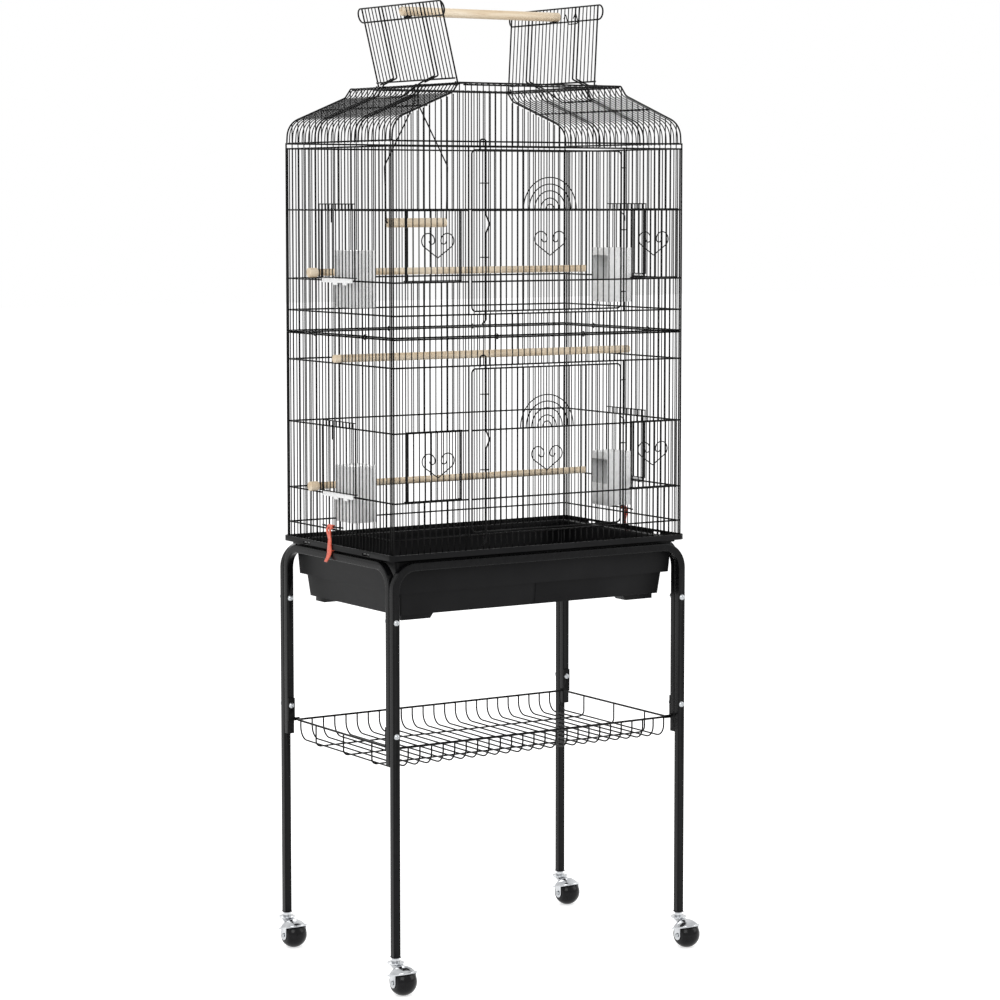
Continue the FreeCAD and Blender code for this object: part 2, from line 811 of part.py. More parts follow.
def build_lifting_doors():
    """Four small front doors and four feeder doors in the side walls."""
    for half in ("upper", "lower"):
        low, high = levels[half]
        for name in slot_door_margins:
            left, right = slot_door_sides(name)
            heart_place = (left + right) / 2 + (front_pitch / 2 if name == "left" else -front_pitch / 2)
            solids, bar_out = lifting_door("front", left, right, low, door_seat,
                                           high + small_door_rise, front_places)
            solids.append(heart("front", heart_place, bar_out + bar_diameter,
                                low + heart_rise - bar_diameter))
            add(half + "_" + name + "_small_door", solids)
        seat = cup_flange + cup_gap + door_seat
        for side, (front, back) in feeders.items():
            solids, bar_out = lifting_door(side, front, back, low, seat, high + feeder_door_rise, side_places)
            solids.append(feeder_handle(side, bar_out, high))
            add(half + "_" + side + "_feeder_door", solids)


def feeder_handle(side, bar_out, height):
    """The small bent finger wire on a feeder door."""
    out = bar_out + bar_diameter
    route = [(12.0, out, 4.0), (12.0, out, -5.0), (5.0, out + 4.0, -12.0), (5.0, out + 4.0, -22.0)]
    points = [on_wall(side, along, away, height + up) for along, away, up in route]
    return bent_wire(points, bar_diameter, bar_diameter)


def cup(side, rail):
    """A hooded seed cup inside the wall, with a flange over the rail and two tabs outside."""
    sign = -1 if side == "left" else 1
    inner_face = room_half_width - cup_gap
    bottom = rail - cup_below_rail
    width = cup_back - cup_front
    body = Part.makeBox(cup_depth, width, cup_height, Vector(inner_face - cup_depth, cup_front, bottom))
    upright = [edge for edge in body.Edges
               if edge.BoundBox.ZLength > width and edge.BoundBox.XMax < inner_face - cup_wall]
    body = body.makeFillet(cup_corner, upright)
    hollow = Part.makeBox(cup_depth - 2 * cup_wall, width - 2 * cup_wall, cup_height - 2 * cup_wall,
                          Vector(inner_face - cup_depth + cup_wall, cup_front + cup_wall, bottom + cup_wall))
    upright = [edge for edge in hollow.Edges
               if edge.BoundBox.ZLength > width and edge.BoundBox.XMax < inner_face - 2 * cup_wall]
    hollow = hollow.makeFillet(cup_corner - cup_wall, upright)
    window_height = cup_height - cup_window_sill - cup_window_head
    window = Part.makeBox(cup_depth - cup_corner * 2, width - cup_corner, window_height,
                          Vector(inner_face - cup_depth - cup_wall, cup_front + cup_corner / 2,
                                 bottom + cup_window_sill))
    body = body.cut(hollow).cut(window)
    flange_low = rail + rail_radius + cup_gap
    outside = half_width + bar_radius + cup_gap
    edge = outside + cup_flange
    front = feeders[side][0] + 2 * rail_diameter
    back = feeders[side][1] - 2 * rail_diameter
    flange = Part.makeBox(edge - inner_face, width, cup_flange, Vector(inner_face, cup_front, flange_low))
    strip = Part.makeBox(cup_flange, back - front, cup_lip,
                         Vector(outside, front, flange_low + cup_flange - cup_lip))
    solid = body.fuse([flange, strip])
    for place in (cup_front + cup_tab_width / 2, cup_back - cup_tab_width * 1.5):
        solid = solid.fuse(Part.makeBox(cup_flange, cup_tab_width, cup_tab * 1.5,
                                        Vector(outside, place, flange_low + cup_flange - cup_lip - cup_tab)))
    solid = solid.removeSplitter()
    if sign < 0:
        solid = solid.mirror(Vector(0, 0, 0), Vector(1, 0, 0))
    return solid


def build_cups():
    """Four seed cups, one under each feeder door."""
    for half in ("upper", "lower"):
        for side in ("left", "right"):
            add(half + "_" + side + "_cup", cup(side, levels[half][0]))


def build_perches():
    """Two long perches screwed to the left wall, one across the middle, and the swing."""
    inside = room_half_width - cup_gap
    outside = half_width + bar_radius + weld_gap
    for half in ("upper", "lower"):
        height = levels[half][0] + perch_rise[half]
        start = Vector(-inside, perch_place, height)
        dowel = rod(start, Vector(inside - perch_short, perch_place, height), perch_diameter)
        stud = rod(Vector(-outside, perch_place, height), start, perch_stud)
        cap = rod(Vector(-outside - perch_cap_length, perch_place, height),
                  Vector(-outside, perch_place, height), perch_cap_diameter)
        add(half + "_perch", dowel.fuse([stud, cap]).removeSplitter())
    height = lower_rails[3] + rail_radius + weld_gap + middle_perch_diameter / 2
    left, right = middle_perch_beyond
    depth = bar_diameter + cup_gap
    start = Vector(-half_width - left, 0, height)
    end = Vector(half_width + right, 0, height)
    add("middle_perch", notched_dowel(start, end,
                                      middle_perch_diameter, [left + depth, -right - depth]))


def swing_point(across, down):
    """A point on the swing, from the bar that it hangs on."""
    return Vector(-hinge_half + across, swing_place, roof_top - down)


def build_swing():
    """A swing: one bent wire over the left hinge bar, and the perch in its ends."""
    curl = rail_radius + hinge_clearance + swing_wire_diameter / 2
    perch_half = swing_perch_length / 2
    end = perch_half + swing_wire_diameter
    half_route = [(perch_half - swing_tenon + weld_gap, swing_drop), (end, swing_drop),
                  (swing_kink_half, swing_kink_drop), (curl, swing_neck), (curl, -curl)]
    route = half_route + [(-across, down) for across, down in reversed(half_route)]
    points = [swing_point(across, down) for across, down in route]
    bends = [swing_wire_diameter * 1.5, 12.0, 12.0, curl - weld_gap]
    add("swing_wire", bent_wire(points, swing_wire_diameter, bends + bends[::-1]))
    perch = rod(swing_point(-perch_half, swing_drop), swing_point(perch_half, swing_drop),
                swing_perch_diameter)
    hole = swing_wire_diameter + 2 * swing_hole_clearance
    for sign in (-1, 1):
        perch = perch.cut(rod(swing_point(sign * (perch_half - swing_tenon), swing_drop),
                              swing_point(sign * (perch_half + swing_tenon), swing_drop), hole))
    add("swing_perch", perch)


def build_tray():
    """The moulded base tray: a lip and ledge round a deep stepped bowl on four feet."""
    collar_half, shoulder_half, shoulder_bottom_half, belly_half, belly_bottom_half = [
        inset_both(tray_lip_half, insets) for insets in (
            tray_collar_inset, tray_shoulder_inset, tray_shoulder_bottom_inset,
            tray_belly_inset, tray_belly_bottom_inset)]
    outer = tapered_block(tray_lip_half, tray_lip_bottom, tray_lip_half, tray_lip_top, tray_lip_corner)
    collar = tapered_block(collar_half, tube_top, collar_half, tray_lip_bottom, tray_corner)
    shoulder = tapered_block(shoulder_bottom_half, tray_step, shoulder_half, tube_top, tray_corner)
    belly = tapered_block(belly_bottom_half, tray_bottom, belly_half, tray_step, tray_corner)
    inner_corner = tray_corner - tray_wall
    lip_hollow = tapered_block(inset(tray_lip_half, tray_wall), ledge_top,
                               inset(tray_lip_half, tray_wall), tray_lip_top + tray_wall,
                               tray_lip_corner - tray_wall)
    bowl_top = inset(shoulder_half, tray_wall)
    bowl_bottom = inset(shoulder_bottom_half, tray_wall)
    neck_hollow = tapered_block(bowl_top, tube_top, bowl_top, ledge_top + tray_wall, inner_corner)
    shoulder_hollow = tapered_block(bowl_bottom, tray_step + tray_wall, bowl_top, tube_top, inner_corner)
    belly_hollow = tapered_block(inset(belly_bottom_half, tray_wall), tray_bottom + tray_wall,
                                 inset(belly_half, tray_wall), tray_step + tray_wall, inner_corner)
    tray = outer.fuse([collar, shoulder, belly] + tray_feet(belly_bottom_half))
    tray = tray.cut(lip_hollow).cut(neck_hollow).cut(shoulder_hollow).cut(belly_hollow)
    for cutter in tray_slots() + tray_grooves(belly_half, belly_bottom_half):
        tray = tray.cut(cutter)
    add("base_tray", tray.removeSplitter())


def tray_feet(floor_half):
    """Four shallow feet near the corners of the tray's floor, with sloping inner ends."""
    feet = []
    length, width = tray_foot_size
    far_x, far_y = inset(floor_half, tray_foot_inset)
    for sign_x in (-1, 1):
        for sign_y in (-1, 1):
            outlines = []
            for draft, height in ((0.0, tray_bottom - tray_foot_height),
                                  (tray_foot_draft, tray_bottom + weld_gap)):
                near_x = far_x - length - draft
                near_y = far_y - width - draft
                ring = [(far_x, far_y), (near_x, far_y), (near_x, near_y), (far_x, near_y), (far_x, far_y)]
                outlines.append(Part.makePolygon([Vector(sign_x * x, sign_y * y, height) for x, y in ring]))
            feet.append(Part.makeLoft(outlines, True, True))
    return feet


def tray_slots():
    """Slots through the lip at both sides, where a hand or a clip takes hold."""
    cutters = []
    depth = 4 * tray_wall
    for sign in (-1, 1):
        for place in tray_slot_places:
            corner = Vector(sign * tray_lip_half[0] - depth / 2, place - tray_slot_length / 2,
                            tray_lip_bottom + tray_slot_rise)
            cutters.append(Part.makeBox(depth, tray_slot_length, tray_slot_height, corner))
    return cutters


def tray_grooves(belly_half, belly_bottom_half):
    """An upright groove in the middle of the tray's front and back."""
    cutters = []
    height = tray_step - tray_bottom - 2 * tray_wall
    for sign in (-1, 1):
        face = sign * belly_half[1]
        depth = tray_groove_depth + belly_half[1] - belly_bottom_half[1]
        low = min(face, face - sign * depth)
        corner = Vector(-tray_groove_width / 2, low, tray_bottom + tray_wall)
        band = Part.makeBox(tray_groove_width, depth, height, corner)
        keep = tapered_block(inset(belly_bottom_half, tray_groove_depth), tray_bottom,
                             inset(belly_half, tray_groove_depth), tray_step, tray_corner)
        cutters.append(band.cut(keep))
    return cutters


def build_clips():
    """Two sprung plastic clips that hook the cage down onto the tray."""
    eye_hole = rail_radius + hinge_clearance
    eye = eye_hole + clip_eye_wall
    pivot_out = bar_radius + rail_radius + clip_pivot_stand
    arm_out = tray_lip_half[0] + clip_gap - half_width
    hook_top = tray_lip_bottom - clip_gap
    for side in ("left", "right"):
        near = clip_place[side] - clip_width / 2
        far = clip_place[side] + clip_width / 2
        barrel = rod(on_wall(side, near, pivot_out, clip_pivot_height),
                     on_wall(side, far, pivot_out, clip_pivot_height), 2 * eye)
        hook_out = pivot_out - eye
        outline = [(pivot_out, clip_pivot_height + eye - weld_gap),
                   (pivot_out + eye, clip_pivot_height),
                   (arm_out + clip_thickness, clip_pivot_height - 2 * eye),
                   (arm_out + clip_thickness, hook_top - clip_hook),
                   (arm_out + clip_thickness + clip_flare, hook_top - clip_hook - clip_tail),
                   (arm_out + clip_flare, hook_top - clip_hook - clip_tail),
                   (arm_out, hook_top - clip_hook),
                   (hook_out, hook_top - clip_hook / 2),
                   (hook_out, hook_top),
                   (arm_out, hook_top),
                   (arm_out, clip_pivot_height - 2 * eye),
                   (pivot_out, clip_pivot_height)]
        points = [on_wall(side, near, out, up) for out, up in outline]
        arm = Part.Face(Part.makePolygon(points + points[:1])).extrude(Vector(0, clip_width, 0))
        bore = rod(on_wall(side, near - weld_gap, pivot_out, clip_pivot_height),
                   on_wall(side, far + weld_gap, pivot_out, clip_pivot_height), 2 * eye_hole)
        add(side + "_tray_clip", barrel.fuse(arm).cut(bore).removeSplitter())


def build_hooks():
    """Small wire hooks that join the rails of the two halves."""
    solids = []
    reach = rail_radius + bar_radius + hook_gap
    places = [(side, between_bars(side, along)) for side in ("front", "back") for along in hook_places_front]
    places += [(side, between_bars(side, along)) for side in ("left", "right") for along in hook_places_side]
    low = lower_rails[-1] - reach
    high = upper_rails[0] + reach
    for side, along in places:
        route = [(rail_out - reach, (low + high) / 2), (rail_out - reach, low), (rail_out + reach, low),
                 (rail_out + reach, high), (rail_out - reach, high)]
        points = [on_wall(side, along, out, up) for out, up in route]
        solids.append(bent_wire(points, bar_diameter, reach - weld_gap))
    add("wall_hooks", solids)


def tube_frame(points):
    """A square tube bent through the points of one upright plane."""
    path = bent_path(points, [tube_bend] * (len(points) - 2))
    across = (points[2] - points[1]).normalize()
    normal = across.cross(Vector(0, 0, 1))
    shells = []
    for half, corner in ((tube / 2, tube_corner), (tube / 2 - tube_wall, tube_corner - tube_wall)):
        flat = half - corner
        diagonal = corner * math.sqrt(0.5)
        edges = []
        here = points[0] + across * half - normal * flat
        for turn_x, turn_y, first in [(1, 1, True), (-1, 1, False), (-1, -1, True), (1, -1, False)]:
            centre = points[0] + across * (turn_x * flat) + normal * (turn_y * flat)
            beside = across * (turn_x * corner)
            beyond = normal * (turn_y * corner)
            start = centre + (beside if first else beyond)
            finish = centre + (beyond if first else beside)
            middle = centre + across * (turn_x * diagonal) + normal * (turn_y * diagonal)
            edges.append(Part.LineSegment(here, start).toShape())
            edges.append(Part.Arc(start, middle, finish).toShape())
            here = finish
        shells.append(path.makePipeShell([Part.Wire(edges)], True, False))
    return shells[0].cut(shells[1])


def bolt_lines():
    """Each bolt's side, its head's face, its nut's face and its height."""
    lines = []
    far = leg_half[1] + tube / 2
    near = leg_half[1] - tube * 1.5
    for height in bolt_heights:
        tab = tab_thickness if height == bolt_heights[0] else 0.0
        for sign_x in (-1, 1):
            lines.append((sign_x * leg_half[0], -far, -near + tab, height))
            lines.append((sign_x * leg_half[0], near - tab, far, height))
    return lines


def build_stand():
    """Four bent tubes bolted together in pairs at the legs."""
    half_x, half_y = leg_half
    inner_y = half_y - tube
    frames = {}
    for name, sign in (("front", -1), ("back", 1)):
        route = [(-half_x, leg_bottom), (-half_x, tube_line), (half_x, tube_line), (half_x, leg_bottom)]
        frames[name] = tube_frame([Vector(x, sign * half_y, z) for x, z in route])
    for name, sign in (("left", -1), ("right", 1)):
        route = [(-inner_y, stub_bottom), (-inner_y, tube_line), (inner_y, tube_line), (inner_y, stub_bottom)]
        frames[name] = tube_frame([Vector(sign * half_x, y, z) for y, z in route])
    bolts = []
    nuts = []
    hole = bolt_diameter + 2 * bolt_clearance
    for across, head, nut, height in bolt_lines():
        bore = rod(Vector(across, head - tube, height), Vector(across, nut + tube, height), hole)
        frames = {name: frame.cut(bore) for name, frame in frames.items()}
        bolts.append(bolt(across, head, nut, height))
        nuts.append(hex_nut(across, nut, height))
    for name, frame in frames.items():
        add(name + "_stand_frame", frame)
    add("stand_bolts", bolts)
    add("stand_nuts", nuts)


def bolt(across, head, nut, height):
    """A bolt with a low domed head, seen from the front."""
    end = nut + nut_height + bolt_end
    head_radius = bolt_head_diameter / 2
    dome = [(0.0, -bolt_head_height), (head_radius * 0.62, -bolt_head_height * 0.72), (head_radius, 0.0)]
    points = [Vector(across + out, head + forward, height) for out, forward in dome]
    shank = [Vector(across + bolt_diameter / 2, head, height), Vector(across + bolt_diameter / 2, end, height),
             Vector(across, end, height), points[0]]
    edges = [Part.Arc(*points).toShape(), Part.LineSegment(points[2], shank[0]).toShape()]
    for start, finish in zip(shank[:-1], shank[1:]):
        edges.append(Part.LineSegment(start, finish).toShape())
    return Part.Face(Part.Wire(edges)).revolve(Vector(across, 0, height), Vector(0, 1, 0), 360)


def hex_nut(across, face, height):
    """A plain hexagon nut on the far end of a bolt."""
    corner = nut_width / math.sqrt(3)
    points = []
    for step in range(7):
        angle = math.radians(60 * step)
        points.append(Vector(across + corner * math.cos(angle), face, height + corner * math.sin(angle)))
    body = Part.Face(Part.makePolygon(points)).extrude(Vector(0, nut_height, 0))
    bore = rod(Vector(across, face - bolt_end, height), Vector(across, face + nut_height + bolt_end, height),
               bolt_diameter + 2 * thread_gap)
    return body.cut(bore)


def build_basket():
    """The wire storage basket between the legs, hung on four tabs."""
    inner = leg_half[1] - tube * 1.5
    rim_half_depth = inner - tab_thickness - tab_gap - basket_rim_wire / 2
    rim_corners = [(0.0 + weld_gap, -1), (1, -1), (1, 1), (-1, 1), (-1, -1), (0.0 - weld_gap, -1)]
    rim_points = []
    for share, side in rim_corners:
        across = share * basket_half_width if abs(share) == 1 else share
        rim_points.append(Vector(across, side * rim_half_depth, basket_rim))
    solids = [bent_wire(rim_points, basket_rim_wire, basket_rim_corner)]
    wire_top = basket_rim - basket_rim_wire / 2 - weld_gap
    floor_line = basket_rim - basket_depth + basket_wire / 2
    for step in range(basket_count):
        across = basket_span * (step / (basket_count - 1) - 0.5)
        route = [(-rim_half_depth, wire_top), (-rim_half_depth, floor_line), (rim_half_depth, floor_line),
                 (rim_half_depth, wire_top)]
        points = [Vector(across, y, z) for y, z in route]
        solids.append(bent_wire(points, basket_wire, basket_bend))
    runner_line = floor_line - basket_wire
    for place in basket_runners:
        route = [(-basket_half_width, wire_top), (-basket_half_width, runner_line),
                 (basket_half_width, runner_line), (basket_half_width, wire_top)]
        points = [Vector(x, place, z) for x, z in route]
        solids.append(bent_wire(points, basket_wire, basket_end_bend))
    add("storage_basket", solids)
    tabs = []
    low = basket_rim - basket_rim_wire / 2
    high = bolt_heights[0] + tube
    for sign_x in (-1, 1):
        for sign_y in (-1, 1):
            near = min(sign_y * inner, sign_y * (inner - tab_thickness))
            upright = Part.makeBox(tube, tab_thickness, high - low,
                                   Vector(sign_x * leg_half[0] - tube / 2, near, low))
            outer = sign_x * (leg_half[0] + tube / 2)
            left = min(outer, outer - sign_x * tab_width)
            foot = Part.makeBox(tab_width, tab_thickness, tab_foot, Vector(left, near, low))
            tab = upright.fuse(foot).removeSplitter()
            bore = rod(Vector(sign_x * leg_half[0], near - tab_thickness, bolt_heights[0]),
                       Vector(sign_x * leg_half[0], near + 2 * tab_thickness, bolt_heights[0]),
                       bolt_diameter + 2 * bolt_clearance)
            tabs.append(tab.cut(bore))
    nodes["storage_basket"] += tabs


def caster_hood():
    """The pressed hood over a ball, drawn with the ball's middle at the origin."""
    shell = Part.makeSphere(hood_outer)
    room = Part.makeSphere(hood_inner)
    wide = 2 * hood_outer
    keep = Part.makeBox(2 * wide, 2 * wide, wide, Vector(-wide, -wide, hood_edge))
    below = Part.makeBox(2 * cheek_in, 2 * wide, 2 * wide, Vector(-cheek_in, -wide, hood_edge - 2 * wide))
    for box in (keep, below):
        box.rotate(Vector(0, 0, 0), Vector(1, 0, 0), -hood_tilt)
    plate_low = plate_top - plate_thickness - ball_radius
    outlines = []
    neck_height = math.sqrt(hood_outer ** 2 - (caster_trail / 2) ** 2) - neck_radius / 2
    for radius, forward, height in ((neck_radius, caster_trail / 2, neck_height),
                                    (plate_radius - plate_thickness, caster_trail, plate_low)):
        circle = Part.Circle(Vector(0, forward, height), Vector(0, 0, 1), radius).toShape()
        outlines.append(Part.Wire([circle]))
    neck = Part.makeLoft(outlines, True, True)
    plate = Part.makeCylinder(plate_radius, plate_thickness, Vector(0, caster_trail, plate_low))
    cheeks = []
    for low in (cheek_in, -cheek_in - cheek_wall):
        tongue = Part.makeBox(cheek_wall, 2 * cheek_radius, hood_edge + hood_wall * 2,
                              Vector(low, -cheek_radius, 0))
        lobe = Part.makeCylinder(cheek_radius, cheek_wall, Vector(low, 0, 0), Vector(1, 0, 0))
        cheeks.append(tongue.fuse(lobe))
    lip_radius = math.sqrt(hood_outer ** 2 - hood_edge ** 2) + hood_lip
    lip = Part.makeCylinder(lip_radius, hood_lip_height, Vector(0, 0, hood_edge))
    lip.rotate(Vector(0, 0, 0), Vector(1, 0, 0), -hood_tilt)
    hood = shell.common(keep).fuse([neck, plate, lip]).cut(room)
    hood = hood.fuse(cheeks).cut(below.common(room))
    bore = rod(Vector(-hood_outer, 0, 0), Vector(hood_outer, 0, 0), axle_diameter + 2 * axle_clearance)
    return hood.cut(bore).removeSplitter()


def caster_ball():
    """The rolling ball, flat where the hood's cheeks stand, with a bore for its axle."""
    bore = axle_diameter / 2 + axle_clearance
    flat_radius = math.sqrt(ball_radius ** 2 - ball_flat ** 2)
    rim = [Vector(-ball_flat, 0, flat_radius), Vector(ball_flat, 0, flat_radius)]
    hole = [Vector(ball_flat, 0, bore), Vector(-ball_flat, 0, bore)]
    edges = [Part.Arc(rim[0], Vector(0, 0, ball_radius), rim[1]).toShape(),
             Part.LineSegment(rim[1], hole[0]).toShape(),
             Part.LineSegment(hole[0], hole[1]).toShape(),
             Part.LineSegment(hole[1], rim[0]).toShape()]
    return Part.Face(Part.Wire(edges)).revolve(Vector(0, 0, 0), Vector(1, 0, 0), 360)


def caster_axle():
    """A pin with a rivet head at each end."""
    face = ball_flat + cheek_gap + cheek_wall + weld_gap
    axle = rod(Vector(-face, 0, 0), Vector(face, 0, 0), axle_diameter)
    for sign in (-1, 1):
        axle = axle.fuse(rod(Vector(sign * face, 0, 0), Vector(sign * (face + rivet_height), 0, 0),
                             rivet_diameter))
    return axle.removeSplitter()


def build_casters():
    """Four ball casters in plastic plugs in the ends of the legs."""
    plugs = []
    stem_bore = stem_diameter + 2 * stem_clearance
    plug_half = tube / 2 - tube_wall - plug_gap
    for row, sign_y in (("front", -1), ("back", 1)):
        for side, sign_x in (("left", -1), ("right", 1)):
            leg = Vector(sign_x * leg_half[0], sign_y * leg_half[1], 0)
            foot = leg + Vector(0, 0, floor_rise)
            ball_middle = foot + Vector(0, -caster_trail, ball_radius)
            name = row + "_" + side
            stem = Part.makeCylinder(stem_diameter / 2, stem_length, foot + Vector(0, 0, plate_top))
            collar = Part.makeCylinder(stem_collar / 2, stem_collar_height, foot + Vector(0, 0, plate_top))
            stem = stem.fuse(collar).removeSplitter()
            hood = caster_hood()
            hood.translate(ball_middle)
            add(name + "_caster_hood", [hood, stem])
            for piece, shape in (("axle", caster_axle()), ("ball", caster_ball())):
                shape.translate(ball_middle)
                add(name + "_caster_" + piece, shape)
            plug = tapered_block([plug_half, plug_half], leg_bottom - plug_flange,
                                 [plug_half, plug_half], leg_bottom - plug_flange + plug_length, plug_corner)
            plug.translate(leg)
            flange = Part.makeBox(tube, tube, plug_flange, leg + Vector(
                -tube / 2, -tube / 2, leg_bottom - plug_flange))
            bore = Part.makeCylinder(stem_bore / 2, plug_length + 2 * plug_flange, leg + Vector(
                0, 0, leg_bottom - 2 * plug_flange))
            plugs.append(plug.fuse(flange).cut(bore).removeSplitter())
    add("caster_plugs", plugs)


build_stand()
build_basket()
build_casters()
stand_nodes = list(nodes)
build_tray()
build_walls()
build_hooks()
build_roof()
build_flaps()
build_main_doors()
build_lifting_doors()
build_cups()
build_perches()
build_swing()
build_clips()

os.makedirs("parts", exist_ok=True)
for node_name, node_solids in nodes.items():
    place = stand_place if node_name in stand_nodes else cage_place
    for node_solid in node_solids:
        node_solid.translate(place)
    Part.makeCompound(node_solids).exportStep("parts/" + node_name + ".step")
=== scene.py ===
"""A wire bird cage on a wheeled stand: finishes, turned wood, wire work and a studio."""
import json
import math

import bmesh
import bpy
from mathutils import Matrix, Vector


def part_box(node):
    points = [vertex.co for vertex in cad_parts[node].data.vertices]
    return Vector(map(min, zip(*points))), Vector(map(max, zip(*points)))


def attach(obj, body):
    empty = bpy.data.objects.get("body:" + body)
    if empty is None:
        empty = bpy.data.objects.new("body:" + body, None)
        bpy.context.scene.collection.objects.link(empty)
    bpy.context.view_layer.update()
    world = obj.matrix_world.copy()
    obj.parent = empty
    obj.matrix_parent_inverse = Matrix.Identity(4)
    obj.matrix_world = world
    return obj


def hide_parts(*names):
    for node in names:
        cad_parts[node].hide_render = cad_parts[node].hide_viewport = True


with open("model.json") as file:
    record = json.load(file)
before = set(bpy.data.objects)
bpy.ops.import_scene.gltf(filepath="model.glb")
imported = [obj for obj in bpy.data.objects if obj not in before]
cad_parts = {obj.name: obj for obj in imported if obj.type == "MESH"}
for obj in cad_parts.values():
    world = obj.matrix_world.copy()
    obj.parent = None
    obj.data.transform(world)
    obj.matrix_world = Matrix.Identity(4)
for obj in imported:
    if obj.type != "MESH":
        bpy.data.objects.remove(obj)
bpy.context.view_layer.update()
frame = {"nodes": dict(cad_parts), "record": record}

bl_info = {
    "name": "Bird cage on a wheeled stand",
    "version": (1, 0, 0),
    "blender": (4, 5, 0),
    "location": "3D View > Sidebar > Cage",
    "description": "Builds the finishes, the turned and bent pieces and the studio of a wire bird cage",
    "category": "Object",
}

MM = 0.001
SMOOTH_ANGLE = math.radians(40)
BEVEL_ANGLE = math.radians(35)
FLAT_ANGLE = math.radians(1)
NUT_SMOOTH_ANGLE = math.radians(20)
BALL_SMOOTH_ANGLE = math.radians(50)
WELD_DISTANCE = 0.001 * MM
SORTING_DIGITS = 5
ORIGIN = Vector((0, 0, 0))
ALONG_Y = Vector((0, 1, 0))

# How finely the round pieces are divided.
BOLT_STEPS = 32
NUT_SIDES = 6
EYE_STEPS = 24
BALL_RINGS = 28

# A bolt's dome as shares of its radius and height, and its recess as shares of the radius.
DOME = ((0.0, 0.0), (0.35, 0.06), (0.62, 0.28), (0.86, 0.62), (1.0, 1.0))
RECESS_LENGTH = 0.5
RECESS_WIDTH = 0.13
SECOND_BLADE = 0.98

# A box up to this many wire diameters across holds one straight wire.
ONE_WIRE = 1.5

# The points of a clip's fork and of the strip below it: outward as a share of its flare, aside as
# a share of its width, down as a share of its drop, and how wide it is there as a share of its width.
CLIP_FORK = ((0.15, 0.34, 0.0, 0.3), (0.45, 0.34, 0.10, 0.3), (0.36, 0.17, 0.24, 0.36))
CLIP_STRIP = ((0.36, 0.0, 0.24, 0.72), (0.24, 0.0, 0.38, 0.6), (0.30, 0.0, 0.52, 0.72),
              (0.30, 0.0, 0.66, 0.95), (0.36, 0.0, 0.76, 0.85), (0.62, 0.0, 0.88, 0.62),
              (1.0, 0.0, 0.985, 0.5))
# The tooth stands at this point of the strip, and is this share of the clip's width.
TOOTH_PLACE = 3
TOOTH_WIDTH = 0.7
# The flat share of a strip's width, and the share of its thickness that is left at its rounded edges.
STRIP_FLAT = 0.88
STRIP_EDGE = 0.55

# The flat middle of a ball's side as a share of the whole flat.
HUB_SHARE = 0.4


def linear(code):
    """An sRGB hex colour as linear red, green, blue and alpha."""
    channels = [int(code[place:place + 2], 16) / 255 for place in (1, 3, 5)]
    turned = [c / 12.92 if c <= 0.04045 else ((c + 0.055) / 1.055) ** 2.4 for c in channels]
    return (*turned, 1.0)


# --- materials -------------------------------------------------------------------------

def new_material(name):
    """An empty node material with its Principled shader and its output joined."""
    material = bpy.data.materials.new(name)
    material.use_nodes = True
    material.node_tree.nodes.clear()
    output = add_node(material.node_tree, "ShaderNodeOutputMaterial")
    shader = add_node(material.node_tree, "ShaderNodeBsdfPrincipled")
    material.node_tree.links.new(shader.outputs["BSDF"], output.inputs["Surface"])
    return material, shader


def add_node(tree, kind, settings=None, **inputs):
    """Adds a node, gives it its settings, and sets or links its inputs by name."""
    node = tree.nodes.new(kind)
    for name, value in (settings or {}).items():
        setattr(node, name, value)
    for name, value in inputs.items():
        socket = node.inputs[int(name[1:])] if name[1:].isdigit() else node.inputs[name.replace("_", " ")]
        if isinstance(value, bpy.types.NodeSocket):
            tree.links.new(value, socket)
        else:
            socket.default_value = value
    return node


def pattern_place(tree, scale=(1.0, 1.0, 1.0)):
    """Object coordinates, stretched for a pattern."""
    place = add_node(tree, "ShaderNodeTexCoord")
    mapping = add_node(tree, "ShaderNodeMapping", Vector=place.outputs["Object"], Scale=scale)
    return mapping.outputs["Vector"]


def grain_bump(tree, shader, place, grain, strength, depth, detail):
    """Fine relief whose grains are about one size in metres."""
    noise = add_node(tree, "ShaderNodeTexNoise", Vector=place, Scale=1.0 / grain, Detail=detail)
    bump = add_node(tree, "ShaderNodeBump", Strength=strength, Distance=depth, Height=noise.outputs["Fac"])
    tree.links.new(bump.outputs["Normal"], shader.inputs["Normal"])
    return noise


def vary(tree, source, span, socket):
    """Sends a noise into a shader socket between two values."""
    spread = add_node(tree, "ShaderNodeMapRange", Value=source, To_Min=span[0], To_Max=span[1])
    tree.links.new(spread.outputs["Result"], socket)


def two_tone(tree, source, tones, spread, socket):
    """Sends a blend of two hex colours into a shader socket, over a spread of the source."""
    ramp = add_node(tree, "ShaderNodeValToRGB", Fac=source)
    for element, tone, place in zip(ramp.color_ramp.elements, tones, spread):
        element.position = place
        element.color = linear(tone)
    tree.links.new(ramp.outputs["Color"], socket)
    return ramp


def grained(name, grain, strength, depth, tones, roughness, spread=(0.3, 0.7), detail=2.0, **inputs):
    """A material whose relief, colour and roughness all follow one fine grain."""
    material, shader = new_material(name)
    tree = material.node_tree
    noise = grain_bump(tree, shader, pattern_place(tree), grain, strength, depth, detail)
    two_tone(tree, noise.outputs["Fac"], tones, spread, shader.inputs["Base Color"])
    vary(tree, noise.outputs["Fac"], roughness, shader.inputs["Roughness"])
    for socket, value in inputs.items():
        shader.inputs[socket.replace("_", " ")].default_value = value
    return material


